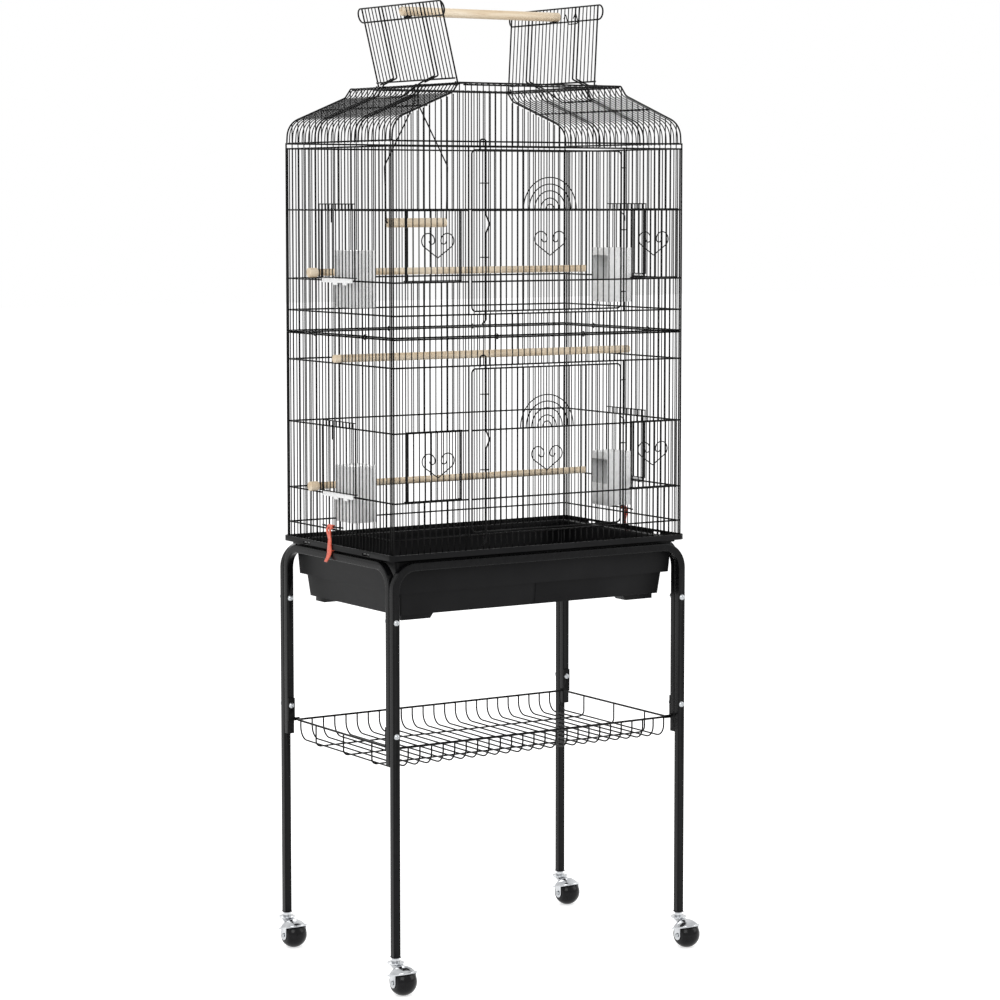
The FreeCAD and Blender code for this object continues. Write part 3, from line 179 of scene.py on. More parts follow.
def powder_coated_wire():
    """Epoxy powder coat baked on steel wire: deep black, half gloss, with a soft orange peel."""
    return grained("powder_coated_wire", grain=4.0 * MM, strength=0.25, depth=0.2 * MM,
                   tones=("#040404", "#0c0c0c"), spread=(0.3, 0.75), roughness=(0.28, 0.42),
                   Specular_IOR_Level=0.1)


def powder_coated_tube():
    """The same coat on rolled square tube: a little glossier, with a softer orange peel."""
    return grained("powder_coated_tube", grain=6.0 * MM, strength=0.18, depth=0.3 * MM,
                   tones=("#060607", "#0e0e0f"), spread=(0.3, 0.75), roughness=(0.2, 0.32),
                   Specular_IOR_Level=0.12)


def moulded_polypropylene(name, grain, tones, roughness):
    """Injection moulded polypropylene: an eroded mould gives a fine even grain and a soft sheen."""
    material, shader = new_material(name)
    tree = material.node_tree
    place = pattern_place(tree)
    fine = grain_bump(tree, shader, place, grain, strength=0.3, depth=0.25 * MM, detail=4.0)
    broad = add_node(tree, "ShaderNodeTexNoise", Vector=place, Scale=9.0, Detail=3.0)
    two_tone(tree, broad.outputs["Fac"], tones, (0.35, 0.7), shader.inputs["Base Color"])
    vary(tree, fine.outputs["Fac"], roughness, shader.inputs["Roughness"])
    shader.inputs["Specular IOR Level"].default_value = 0.085
    return material


def tray_polypropylene():
    """The tray's plastic: near black, with the finer grain and the softer sheen of the two."""
    return moulded_polypropylene("grained_polypropylene", grain=1.6 * MM, tones=("#0e0e0f", "#171718"),
                                 roughness=(0.32, 0.48))


def plug_polypropylene():
    """The leg plugs' plastic: the same, a little duller."""
    return moulded_polypropylene("plug_polypropylene", grain=2.0 * MM, tones=("#101010", "#181818"),
                                 roughness=(0.4, 0.5))


def white_cup_plastic():
    """White polystyrene, moulded thin and glossy: light spreads a little inside it."""
    return grained("white_polystyrene", grain=12.0 * MM, strength=0.06, depth=0.3 * MM,
                   tones=("#f4f5f5", "#fcfcfc"), roughness=(0.22, 0.34), Subsurface_Weight=0.2,
                   Subsurface_Radius=(3.0 * MM, 3.0 * MM, 3.0 * MM))


def coral_clip_plastic():
    """Soft coloured polyethylene, moulded: bright, with light spreading just under its skin."""
    return grained("coral_polyethylene", grain=3.0 * MM, strength=0.15, depth=0.2 * MM,
                   tones=("#df5c45", "#ef7a62"), roughness=(0.32, 0.45), Subsurface_Weight=0.15,
                   Subsurface_Radius=(4.0 * MM, 1.5 * MM, 1.0 * MM))


def bright_chrome():
    """Chrome plate on a pressed steel hood: a mirror with faint polishing smears."""
    return grained("chrome_plate", grain=20.0 * MM, strength=0.05, depth=0.4 * MM,
                   tones=("#afb1b4", "#d0d2d4"), roughness=(0.12, 0.24), Metallic=1.0)


def zinc_plated_steel():
    """Bright zinc on turned steel: pale blue grey, brushed by the lathe."""
    return grained("bright_zinc_plate", grain=1.2 * MM, strength=0.3, depth=0.1 * MM,
                   tones=("#a2a6a9", "#c8cbcd"), roughness=(0.22, 0.4), Metallic=1.0)


def gloss_nylon():
    """Black nylon ball, moulded and tumbled: a high gloss with a few rolling scuffs."""
    return grained("gloss_nylon", grain=6.0 * MM, strength=0.08, depth=0.3 * MM, detail=4.0,
                   tones=("#0a0a0b", "#151517"), spread=(0.35, 0.8), roughness=(0.1, 0.26),
                   Specular_IOR_Level=0.16)


def turned_beech():
    """Sanded, unvarnished beech dowel: pale, with long grain and short dark flecks."""
    material, shader = new_material("sanded_beech")
    tree = material.node_tree
    place = pattern_place(tree, scale=(0.06, 1.0, 1.0))
    grain = add_node(tree, "ShaderNodeTexNoise", Vector=place, Scale=420.0, Detail=5.0, Distortion=0.6)
    bands = add_node(tree, "ShaderNodeTexNoise", Vector=place, Scale=90.0, Detail=2.0, Distortion=0.4)
    pale = two_tone(tree, bands.outputs["Fac"], ("#dcc5a4", "#f2e4cd"), (0.3, 0.68),
                    shader.inputs["Base Color"])
    flecks = add_node(tree, "ShaderNodeMapRange", Value=grain.outputs["Fac"], From_Min=0.56, From_Max=0.72,
                      To_Min=0.0, To_Max=0.45)
    # The mix node's colours go in at sockets 6 and 7 and come out at socket 2.
    stain = add_node(tree, "ShaderNodeMix", {"data_type": "RGBA", "blend_type": "MULTIPLY"},
                     _0=flecks.outputs["Result"], _6=pale.outputs["Color"], _7=linear("#b99468"))
    tree.links.new(stain.outputs[2], shader.inputs["Base Color"])
    bump = add_node(tree, "ShaderNodeBump", Strength=0.35, Distance=0.3 * MM, Height=grain.outputs["Fac"])
    tree.links.new(bump.outputs["Normal"], shader.inputs["Normal"])
    vary(tree, bands.outputs["Fac"], (0.5, 0.66), shader.inputs["Roughness"])
    return material


FINISHES = {
    "black_wire": powder_coated_wire,
    "black_tube": powder_coated_tube,
    "tray_plastic": tray_polypropylene,
    "black_plastic": plug_polypropylene,
    "ball_plastic": gloss_nylon,
    "bright_chrome": bright_chrome,
    "zinc_steel": zinc_plated_steel,
    "cup_plastic": white_cup_plastic,
    "clip_plastic": coral_clip_plastic,
    "light_wood": turned_beech,
}
made = {}


def finish(slot):
    """The material of one slot of the record, made once."""
    if slot not in made:
        made[slot] = FINISHES[slot]()
    return made[slot]


def slot_of(node):
    """The record's material slot of a node."""
    return next(row["material_slot"] for row in frame["record"]["subparts"] if row["node"] == node)


# --- shared makers ---------------------------------------------------------------------

def body_of(node):
    """The body that a node rides on."""
    bodies = frame["record"]["behaviour"]["bodies"]
    return next(body for body, members in bodies.items() if node in members)


def place_piece(mesh, name, node, *others):
    """Links a mesh as a piece that stands for one or more nodes of one body."""
    piece = bpy.data.objects.new(name, mesh)
    bpy.context.scene.collection.objects.link(piece)
    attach(piece, body_of(node))
    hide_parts(node, *others)
    return piece


def finish_mesh(work, name, material, angle=SMOOTH_ANGLE):
    """Turns a bmesh into a mesh with outward faces, smooth but for its sharp edges."""
    bmesh.ops.recalc_face_normals(work, faces=work.faces)
    mesh = bpy.data.meshes.new(name)
    work.to_mesh(mesh)
    work.free()
    mesh.materials.clear()
    mesh.materials.append(material)
    mesh.shade_smooth()
    mesh.set_sharp_from_angle(angle=angle)
    return mesh


def softened_copy(node, edge=0.0, smooth=SMOOTH_ANGLE):
    """A node's own surface, with its edges rounded by a small radius if one is given."""
    work = bmesh.new()
    work.from_mesh(frame["nodes"][node].data)
    bmesh.ops.remove_doubles(work, verts=work.verts, dist=WELD_DISTANCE)
    if edge > 0:
        bmesh.ops.dissolve_limit(work, angle_limit=FLAT_ANGLE, verts=work.verts, edges=work.edges)
        sharp = [line for line in work.edges if line.is_manifold and line.calc_face_angle() > BEVEL_ANGLE]
        bmesh.ops.bevel(work, geom=sharp, offset=edge, segments=2, profile=0.5, affect="EDGES",
                        clamp_overlap=True)
    mesh = finish_mesh(work, node, finish(slot_of(node)), smooth)
    return place_piece(mesh, node + "_surface", node)


def lathe(profile, start, axis, steps):
    """A bmesh turned round an axis from (radius, distance along the axis) pairs."""
    turn = axis.to_track_quat("Z", "Y").to_matrix()
    work = bmesh.new()
    rings = []
    for radius, along in profile:
        if radius == 0:
            rings.append([work.verts.new(start + axis * along)])
            continue
        ring = []
        for step in range(steps):
            angle = 2 * math.pi * step / steps
            out = turn @ Vector((radius * math.cos(angle), radius * math.sin(angle), 0))
            ring.append(work.verts.new(start + axis * along + out))
        rings.append(ring)
    for first, second in zip(rings[:-1], rings[1:]):
        for step in range(steps):
            corners = [first[step % len(first)], first[(step + 1) % len(first)],
                       second[(step + 1) % len(second)], second[step % len(second)]]
            work.faces.new(list(dict.fromkeys(corners)))
    return work


def rounded_route(points, radii, steps):
    """The points of a wire's middle line, with an arc at each bend."""
    line = [points[0]]
    for before, corner, after, radius in zip(points[:-2], points[1:-1], points[2:], radii):
        back = (before - corner).normalized()
        forward = (after - corner).normalized()
        half = back.angle(forward) / 2
        setback = radius / math.tan(half)
        centre = corner + (back + forward).normalized() * (radius / math.sin(half))
        first = corner + back * setback - centre
        last = corner + forward * setback - centre
        for step in range(steps + 1):
            line.append(centre + first.slerp(last, step / steps) * radius)
    line.append(points[-1])
    return line


def wire(points, diameter, radii, sides=10, steps=6):
    """A bmesh of a round wire along a bent route, closed at both ends."""
    line = rounded_route(points, radii, steps)
    work = bmesh.new()
    rings = []
    side = (line[1] - line[0]).orthogonal().normalized()
    for place, point in enumerate(line):
        before = line[max(place - 1, 0)]
        after = line[min(place + 1, len(line) - 1)]
        along = (after - before).normalized()
        side = (side - along * side.dot(along)).normalized()
        across = along.cross(side)
        ring = []
        for step in range(sides):
            angle = 2 * math.pi * step / sides
            out = side * math.cos(angle) + across * math.sin(angle)
            ring.append(work.verts.new(point + out * diameter / 2))
        rings.append(ring)
    skin(work, rings)
    return work


def skin(work, rings):
    """Adds the faces between neighbouring rings of vertices, and closes both ends."""
    for first, second in zip(rings[:-1], rings[1:]):
        for step in range(len(first)):
            other = (step + 1) % len(first)
            work.faces.new([first[step], first[other], second[other], second[step]])
    work.faces.new(rings[0][::-1])
    work.faces.new(rings[-1])


def merged(works):
    """Several bmeshes as one."""
    whole = bmesh.new()
    for work in works:
        passing = bpy.data.meshes.new("passing")
        work.to_mesh(passing)
        work.free()
        whole.from_mesh(passing)
        bpy.data.meshes.remove(passing)
    return whole


def block(low, high):
    """A bmesh box between two corners."""
    work = bmesh.new()
    place = Matrix.Translation((Vector(low) + Vector(high)) / 2)
    stretch = Matrix.Diagonal((*(Vector(high) - Vector(low)), 1.0))
    bmesh.ops.create_cube(work, size=1.0, matrix=place @ stretch)
    return work


def copying_tree(name, inputs, line_of):
    """A node tree that copies one piece onto the points of a mesh that a function gives."""
    tree = bpy.data.node_groups.new(name, "GeometryNodeTree")
    for label, kind in inputs + (("Piece", "Object"), ("Finish", "Material")):
        tree.interface.new_socket(label, in_out="INPUT", socket_type="NodeSocket" + kind)
    tree.interface.new_socket("Geometry", in_out="OUTPUT", socket_type="NodeSocketGeometry")
    given = add_node(tree, "NodeGroupInput")
    piece = add_node(tree, "GeometryNodeObjectInfo", Object=given.outputs["Piece"])
    copies = add_node(tree, "GeometryNodeInstanceOnPoints", Points=line_of(tree, given),
                      Instance=piece.outputs["Geometry"])
    solid = add_node(tree, "GeometryNodeRealizeInstances", Geometry=copies.outputs["Instances"])
    painted = add_node(tree, "GeometryNodeSetMaterial", Geometry=solid.outputs["Geometry"],
                       Material=given.outputs["Finish"])
    add_node(tree, "NodeGroupOutput", Geometry=painted.outputs["Geometry"])
    return tree


def points_tree():
    """A node tree that sets one piece on every point of a mesh."""
    return copying_tree("piece_on_points", (("Geometry", "Geometry"),),
                        lambda tree, given: given.outputs["Geometry"])


def row_tree():
    """A node tree that repeats one piece along a straight row."""
    def row(tree, given):
        line = add_node(tree, "GeometryNodeMeshLine", {"mode": "OFFSET"}, Count=given.outputs["Count"],
                        Start_Location=given.outputs["Start"], Offset=given.outputs["Step"])
        return line.outputs["Mesh"]

    return copying_tree("piece_in_a_row", (("Count", "Int"), ("Start", "Vector"), ("Step", "Vector")), row)


def grown(tree, base, settings):
    """The plain mesh that a node tree grows on a base mesh with the given named inputs."""
    holder = bpy.data.objects.new("holder", base)
    bpy.context.scene.collection.objects.link(holder)
    modifier = holder.modifiers.new("grow", "NODES")
    modifier.node_group = tree
    for socket in tree.interface.items_tree:
        if socket.in_out == "INPUT" and socket.name in settings:
            modifier[socket.identifier] = settings[socket.name]
    bpy.context.view_layer.update()
    solid = holder.evaluated_get(bpy.context.evaluated_depsgraph_get())
    mesh = bpy.data.meshes.new_from_object(solid)
    bpy.data.objects.remove(holder)
    return mesh


def seed_piece(work, name, material, angle=SMOOTH_ANGLE):
    """A hidden piece that a node tree copies."""
    seed = bpy.data.objects.new(name, finish_mesh(work, name, material, angle))
    bpy.context.scene.collection.objects.link(seed)
    return seed


def solids_of(node):
    """A node's own surface as a bmesh, and the vertices of each of its separate solids."""
    work = bmesh.new()
    work.from_mesh(frame["nodes"][node].data)
    bmesh.ops.remove_doubles(work, verts=work.verts, dist=WELD_DISTANCE)
    unseen = set(work.verts)
    solids = []
    while unseen:
        front = [unseen.pop()]
        solid = []
        while front:
            vertex = front.pop()
            solid.append(vertex)
            for edge in vertex.link_edges:
                other = edge.other_vert(vertex)
                if other in unseen:
                    unseen.remove(other)
                    front.append(other)
        solids.append(solid)
    return work, solids


def corners(solid):
    """The low and the high corner of one solid."""
    low = Vector(min(vertex.co[axis] for vertex in solid) for axis in range(3))
    high = Vector(max(vertex.co[axis] for vertex in solid) for axis in range(3))
    return low, high


def extent(box):
    """The size of a box along X, Y and Z."""
    return box[1] - box[0]


def solid_boxes(node):
    """The low and the high corner of each solid of a node, in order along X, Y and Z."""
    work, solids = solids_of(node)
    boxes = [corners(solid) for solid in solids]
    work.free()
    return sorted(boxes, key=lambda box: tuple(round(c, SORTING_DIGITS) for c in box[0]))


def solids_above(node, height):
    """A bmesh of the solids of a node that reach above a height."""
    work, solids = solids_of(node)
    low_ones = [vertex for solid in solids if corners(solid)[1].z < height for vertex in solid]
    bmesh.ops.delete(work, geom=low_ones, context="VERTS")
    return work


# --- settings --------------------------------------------------------------------------

class CageWire(bpy.types.PropertyGroup):
    """The bent steel wire of the cage."""
    angle: bpy.props.FloatProperty(name="Smooth to", description="Edges flatter than this are shaded smooth",
                                   default=SMOOTH_ANGLE, subtype="ANGLE")


class CageStand(bpy.types.PropertyGroup):
    """The tubes, the bolts and the nuts."""
    tube_edge: bpy.props.FloatProperty(name="Tube edge", description="Rounding of the tubes' cut ends",
                                       default=0.2 * MM, unit="LENGTH")
    bolt_diameter: bpy.props.FloatProperty(name="Bolt", description="Shank diameter of the bolts",
                                           default=6.0 * MM, unit="LENGTH")
    bolt_chamfer: bpy.props.FloatProperty(name="Bolt end", description="Chamfer at the end of a bolt",
                                          default=0.5 * MM, unit="LENGTH")
    head_diameter: bpy.props.FloatProperty(name="Bolt head", description="Diameter of the domed bolt heads",
                                           default=11.0 * MM, unit="LENGTH")
    head_height: bpy.props.FloatProperty(name="Dome", description="Height of the domed bolt heads",
                                         default=3.2 * MM, unit="LENGTH")
    recess_depth: bpy.props.FloatProperty(name="Recess", description="Depth of the cross recess in a head",
                                          default=1.4 * MM, unit="LENGTH")
    nut_height: bpy.props.FloatProperty(name="Nut", description="Height of the hexagon nuts",
                                        default=5.0 * MM, unit="LENGTH")
    nut_chamfer: bpy.props.FloatProperty(name="Nut chamfer", description="Chamfer at the corners of a nut",
                                         default=0.6 * MM, unit="LENGTH")
    thread_gap: bpy.props.FloatProperty(name="Thread gap", description="Gap between a bolt and its nut",
                                        default=0.05 * MM, unit="LENGTH")


class CageBasket(bpy.types.PropertyGroup):
    """The wire storage basket."""
    rim_wire: bpy.props.FloatProperty(name="Rim wire", description="Diameter of the rim", default=4.0 * MM,
                                      unit="LENGTH")
    wire: bpy.props.FloatProperty(name="Wire", description="Diameter of the basket's wires", default=3.0 * MM,
                                  unit="LENGTH")
    count: bpy.props.IntProperty(name="Wires", description="Number of wires across the basket", default=25)
    bend: bpy.props.FloatProperty(name="Bend", description="Bend radius of the wires across",
                                  default=22.0 * MM, unit="LENGTH")
    end_bend: bpy.props.FloatProperty(name="End bend", description="Bend radius of the long wires",
                                      default=10.0 * MM, unit="LENGTH")
    rim_corner: bpy.props.FloatProperty(name="Rim corner", description="Bend radius of the rim's corners",
                                        default=6.0 * MM, unit="LENGTH")


class CageMouldings(bpy.types.PropertyGroup):
    """The moulded tray, cups and plugs."""
    tray_edge: bpy.props.FloatProperty(name="Tray edge", description="Rounding of the tray's edges",
                                       default=0.8 * MM, unit="LENGTH")
    cup_edge: bpy.props.FloatProperty(name="Cup edge", description="Rounding of the cups' edges",
                                      default=0.5 * MM, unit="LENGTH")


class CageClips(bpy.types.PropertyGroup):
    """The sprung plastic clips."""
    strip: bpy.props.FloatProperty(name="Strip", description="Thickness of the sprung strip",
                                   default=2.6 * MM, unit="LENGTH")
    eye_wall: bpy.props.FloatProperty(name="Eye wall", description="Wall of the eye round its wire",
                                      default=2.1 * MM, unit="LENGTH")
    eye_hole: bpy.props.FloatProperty(name="Eye hole", description="Diameter of the hole in the eye",
                                      default=2.6 * MM, unit="LENGTH")
    tooth: bpy.props.FloatProperty(name="Tooth", description="Height of the tooth that holds the tray's lip",
                                   default=4.0 * MM, unit="LENGTH")


class CageCasters(bpy.types.PropertyGroup):
    """The ball casters."""
    ball_diameter: bpy.props.FloatProperty(name="Ball", description="Diameter of the rolling balls",
                                           default=50.0 * MM, unit="LENGTH")
    ball_width: bpy.props.FloatProperty(name="Ball width", description="Width of a ball over its flat sides",
                                        default=40.0 * MM, unit="LENGTH")
    ball_edge: bpy.props.FloatProperty(name="Ball edge", description="Turn of the rounding at a flat side",
                                       default=math.radians(4), subtype="ANGLE")
    hood_edge: bpy.props.FloatProperty(name="Hood edge", description="Rounding of the pressed hoods",
                                       default=0.3 * MM, unit="LENGTH")


class CageWood(bpy.types.PropertyGroup):
    """The turned wood perches."""
    end_edge: bpy.props.FloatProperty(name="Ends", description="Rounding of the dowels' ends and notches",
                                      default=0.4 * MM, unit="LENGTH")


class CageStudio(bpy.types.PropertyGroup):
    """The camera, the floor and the lamps."""
    place: bpy.props.FloatVectorProperty(name="Camera", description="Where the camera stands", size=3,
                                         subtype="TRANSLATION", default=(-2.916, -4.5692, 1.4032))
    lens: bpy.props.FloatProperty(name="Lens", description="Focal length on a 36 mm sensor", default=105.54)
    turn: bpy.props.FloatProperty(name="Turn", description="How far the camera stands round to the left",
                                  default=math.radians(32.813), subtype="ANGLE")
    tilt: bpy.props.FloatProperty(name="Tilt", description="How far the camera looks down",
                                  default=math.radians(4.724), subtype="ANGLE")
    shift: bpy.props.FloatVectorProperty(name="Shift", description="Shift of the lens, in sensor widths",
                                         size=2, default=(-0.0013, -0.06))
    key_power: bpy.props.FloatProperty(name="Key lamp", description="Power of the large front lamp",
                                       default=90.0, unit="POWER")
    fill_power: bpy.props.FloatProperty(name="Fill lamp", description="Power of the lamp on the right",
                                        default=40.5, unit="POWER")
    rim_power: bpy.props.FloatProperty(name="Rim lamp", description="Power of the lamp behind",
                                       default=45.0, unit="POWER")
    world_light: bpy.props.FloatProperty(name="World", description="Strength of the even light all round",
                                         default=0.7)
    floor_glow: bpy.props.FloatProperty(name="Floor glow", description="Light that lifts the floor to white",
                                        default=0.57)
    floor_colour: bpy.props.FloatVectorProperty(name="Floor", description="Colour of the studio floor",
                                                size=4, subtype="COLOR", default=linear("#f2f2f2"))
    floor_reach: bpy.props.FloatProperty(name="Floor reach", description="How far the floor runs each way",
                                         default=30.0, unit="LENGTH")


class CAGE_OT_stage(bpy.types.Operator):
    """Makes the floor, the backdrop light, the lamps and the camera"""
    bl_idname = "cage.stage"
    bl_label = "Studio"

    def execute(self, context):
        studio = context.scene.cage_studio
        make_floor(studio)
        make_world(studio.world_light)
        make_lamp("key_lamp", studio.key_power, size=2.6, place=(-3.2, -3.6, 3.4), aim=(0.0, 0.0, 1.0))
        make_lamp("fill_lamp", studio.fill_power, size=2.4, place=(3.4, -2.2, 2.2), aim=(0.0, 0.0, 0.9))
        make_lamp("rim_lamp", studio.rim_power, size=2.4, place=(1.0, 3.6, 3.2), aim=(0.0, 0.0, 1.2))
        make_camera(studio)
        context.scene.view_settings.view_transform = "Standard"
        return {"FINISHED"}


def make_camera(studio):
    """The camera that the main picture is taken with."""
    camera = bpy.data.cameras.new("camera")
    camera.sensor_width = 36.0
    camera.lens = studio.lens
    camera.shift_x, camera.shift_y = studio.shift
    holder = bpy.data.objects.new("camera", camera)
    holder.location = studio.place
    holder.rotation_euler = (math.radians(90.0) - studio.tilt, 0.0, -studio.turn)
    bpy.context.scene.collection.objects.link(holder)
    bpy.context.scene.camera = holder


def make_lamp(name, power, size, place, aim):
    """A soft square lamp aimed at a point."""
    lamp = bpy.data.lights.new(name, "AREA")
    lamp.size = size
    lamp.energy = power
    holder = bpy.data.objects.new(name, lamp)
    holder.location = place
    holder.rotation_euler = (Vector(aim) - Vector(place)).to_track_quat("-Z", "Y").to_euler()
    bpy.context.scene.collection.objects.link(holder)


def make_world(strength):
    """Even light from all round, and plain white to the camera and in reflections."""
    world = bpy.data.worlds.new("studio_world")
    bpy.context.scene.world = world
    world.use_nodes = True
    tree = world.node_tree
    tree.nodes.clear()
    rays = add_node(tree, "ShaderNodeLightPath")
    seen = add_node(tree, "ShaderNodeMath", {"operation": "MAXIMUM"}, _0=rays.outputs["Is Camera Ray"],
                    _1=rays.outputs["Is Glossy Ray"])
    through = add_node(tree, "ShaderNodeMath", {"operation": "MAXIMUM"}, _0=seen.outputs[0],
                       _1=rays.outputs["Is Transmission Ray"])
    lit = add_node(tree, "ShaderNodeBackground", Color=linear("#ffffff"), Strength=strength)
    white = add_node(tree, "ShaderNodeBackground", Color=linear("#ffffff"), Strength=1.0)
    mixed = add_node(tree, "ShaderNodeMixShader", _0=through.outputs[0], _1=lit.outputs[0],
                     _2=white.outputs[0])
    add_node(tree, "ShaderNodeOutputWorld", Surface=mixed.outputs[0])


def make_floor(studio):
    """A pale floor that looks white and still takes the shadow of the stand."""
    mesh = bpy.data.meshes.new("floor")
    reach = studio.floor_reach
    mesh.from_pydata([(-reach, -reach, 0), (reach, -reach, 0), (reach, reach, 0), (-reach, reach, 0)], [],
                     [(0, 1, 2, 3)])
    floor = bpy.data.objects.new("floor", mesh)
    bpy.context.scene.collection.objects.link(floor)
    material = bpy.data.materials.new("studio_floor")
    material.use_nodes = True
    tree = material.node_tree
    tree.nodes.clear()
    rays = add_node(tree, "ShaderNodeLightPath")
    matt = add_node(tree, "ShaderNodeBsdfDiffuse", Color=studio.floor_colour)
    glow = add_node(tree, "ShaderNodeEmission", Color=linear("#ffffff"), Strength=studio.floor_glow)
    seen = add_node(tree, "ShaderNodeMath", {"operation": "MAXIMUM"}, _0=rays.outputs["Is Camera Ray"],
                    _1=rays.outputs["Is Glossy Ray"])
    both = add_node(tree, "ShaderNodeAddShader", _0=matt.outputs[0], _1=glow.outputs[0])
    mixed = add_node(tree, "ShaderNodeMixShader", _0=seen.outputs[0], _1=matt.outputs[0], _2=both.outputs[0])
    add_node(tree, "ShaderNodeOutputMaterial", Surface=mixed.outputs[0])
    mesh.materials.append(material)


class CAGE_OT_finishes(bpy.types.Operator):
    """Gives every node of the frame the finish of its slot"""
    bl_idname = "cage.finishes"
    bl_label = "Finishes"

    def execute(self, context):
        for name, node in frame["nodes"].items():
            node.data.materials.clear()
            node.data.materials.append(finish(slot_of(name)))
        return {"FINISHED"}


class CAGE_OT_wire(bpy.types.Operator):
    """Rounds off the shading of every bent wire piece"""
    bl_idname = "cage.wire"
    bl_label = "Wire work"

    def execute(self, context):
        for name in frame["nodes"]:
            if slot_of(name) == "black_wire" and name != "storage_basket":
                softened_copy(name, smooth=context.scene.cage_wire.angle)
        return {"FINISHED"}


class CAGE_OT_stand(bpy.types.Operator):
    """Makes the tubes, the bolts and the nuts of the stand"""
    bl_idname = "cage.stand"
    bl_label = "Stand"

    def execute(self, context):
        stand = context.scene.cage_stand
        for side in ("front", "back", "left", "right"):
            softened_copy(side + "_stand_frame", stand.tube_edge)
        copy_on_solids("stand_bolts", bolt_seed(stand))
        copy_on_solids("stand_nuts", nut_seed(stand))
        return {"FINISHED"}


def copy_on_solids(node, seed):
    """Sets a copy of a seed piece at the near face of each solid of a node."""
    places = [((low.x + high.x) / 2, low.y, (low.z + high.z) / 2) for low, high in solid_boxes(node)]
    marks = bpy.data.meshes.new(node + "_places")
    marks.from_pydata(places, [], [])
    mesh = grown(points_tree(), marks, {"Piece": seed, "Finish": finish(slot_of(node))})
    bpy.data.objects.remove(seed)
    place_piece(mesh, node + "_made", node)


def bolt_seed(stand):
    """One bolt with its near end at the origin: a low dome with a cross recess, and a shank."""
    low, high = solid_boxes("stand_bolts")[0]
    length = high.y - low.y
    shank = stand.bolt_diameter / 2
    chamfer = stand.bolt_chamfer
    profile = [(stand.head_diameter / 2 * out, stand.head_height * along) for out, along in DOME]
    profile += [(shank, stand.head_height), (shank, length - chamfer), (shank - chamfer, length),
                (0.0, length)]
    body = seed_piece(lathe(profile, ORIGIN, ALONG_Y, BOLT_STEPS), "bolt", finish("zinc_steel"))
    cutter = seed_piece(cross_recess(stand), "recess", finish("zinc_steel"))
    cut = body.modifiers.new("recess", "BOOLEAN")
    cut.operation = "DIFFERENCE"
    cut.solver = "EXACT"
    cut.use_self = True
    cut.object = cutter
    bpy.context.view_layer.update()
    mesh = bpy.data.meshes.new_from_object(body.evaluated_get(bpy.context.evaluated_depsgraph_get()))
    body.modifiers.clear()
    body.data = mesh
    bpy.data.objects.remove(cutter)
    return body


def cross_recess(stand):
    """A cutter of two crossed blades, one a touch deeper so that no faces coincide."""
    long = stand.head_diameter / 2 * RECESS_LENGTH
    wide = stand.head_diameter / 2 * RECESS_WIDTH
    deep = stand.recess_depth
    shallow = deep * SECOND_BLADE
    return merged([block((-long, -deep, -wide), (long, deep, wide)),
                   block((-wide, -shallow, -long), (wide, shallow, long))])


def nut_seed(stand):
    """One hexagon nut with chamfered corners, its near face at the origin."""
    low, high = solid_boxes("stand_nuts")[0]
    corner = (high.x - low.x) / 2
    across = corner * math.cos(math.pi / NUT_SIDES)
    bore = stand.bolt_diameter / 2 + stand.thread_gap
    height = stand.nut_height
    chamfer = stand.nut_chamfer
    ring = [(bore, 0.0), (across, 0.0), (corner, chamfer), (corner, height - chamfer), (across, height),
            (bore, height), (bore, 0.0)]
    return seed_piece(lathe(ring, ORIGIN, ALONG_Y, NUT_SIDES), "nut", finish("zinc_steel"), NUT_SMOOTH_ANGLE)


class CAGE_OT_basket(bpy.types.Operator):
    """Bends the wires of the storage basket and hangs it on its four tabs"""
    bl_idname = "cage.basket"
    bl_label = "Basket"

    def execute(self, context):
        basket = context.scene.cage_basket
        solids = solid_boxes("storage_basket")
        flat = [box for box in solids if extent(box).z < basket.rim_wire * ONE_WIRE]
        rim_low, rim_high = max(flat, key=lambda box: extent(box).x * extent(box).y)
        half_span = (rim_high.x - rim_low.x) / 2
        cross = [box for box in solids if extent(box).x < basket.wire * ONE_WIRE]
        longs = [box for box in solids
                 if extent(box).y < basket.wire * ONE_WIRE and extent(box).x > half_span]
        works = [basket_rim(basket, rim_low, rim_high)]
        for wire_low, wire_high in longs:
            works.append(basket_long_wire(basket, wire_low, wire_high))
        works.append(solids_above("storage_basket", rim_high.z + basket.rim_wire))
        base = finish_mesh(merged(works), "basket_base", finish("black_wire"))
        first = min(cross, key=lambda box: box[0].x)
        last = max(cross, key=lambda box: box[0].x)
        seed = seed_piece(basket_cross_wire(basket, *first), "cross_wire", finish("black_wire"))
        step = Vector(((last[0].x - first[0].x) / (basket.count - 1), 0, 0))
        row = grown(row_tree(), bpy.data.meshes.new("row"), {
            "Piece": seed, "Count": basket.count, "Start": ORIGIN, "Step": step,
            "Finish": finish("black_wire")})
        bpy.data.objects.remove(seed)
        whole = bmesh.new()
        whole.from_mesh(base)
        whole.from_mesh(row)
        mesh = finish_mesh(whole, "storage_basket_wires", finish("black_wire"))
        place_piece(mesh, "storage_basket_made", "storage_basket")
        return {"FINISHED"}


def basket_rim(basket, low, high):
    """The rim: one closed loop of thick wire."""
    inset = Vector((basket.rim_wire / 2, basket.rim_wire / 2, 0))
    near = low + inset
    far = high - inset
    height = (low.z + high.z) / 2
    middle = (near.x + far.x) / 2
    route = [(middle, near.y), (far.x, near.y), (far.x, far.y), (near.x, far.y), (near.x, near.y),
             (middle, near.y)]
    return wire([Vector((x, y, height)) for x, y in route], basket.rim_wire, [basket.rim_corner] * 4)


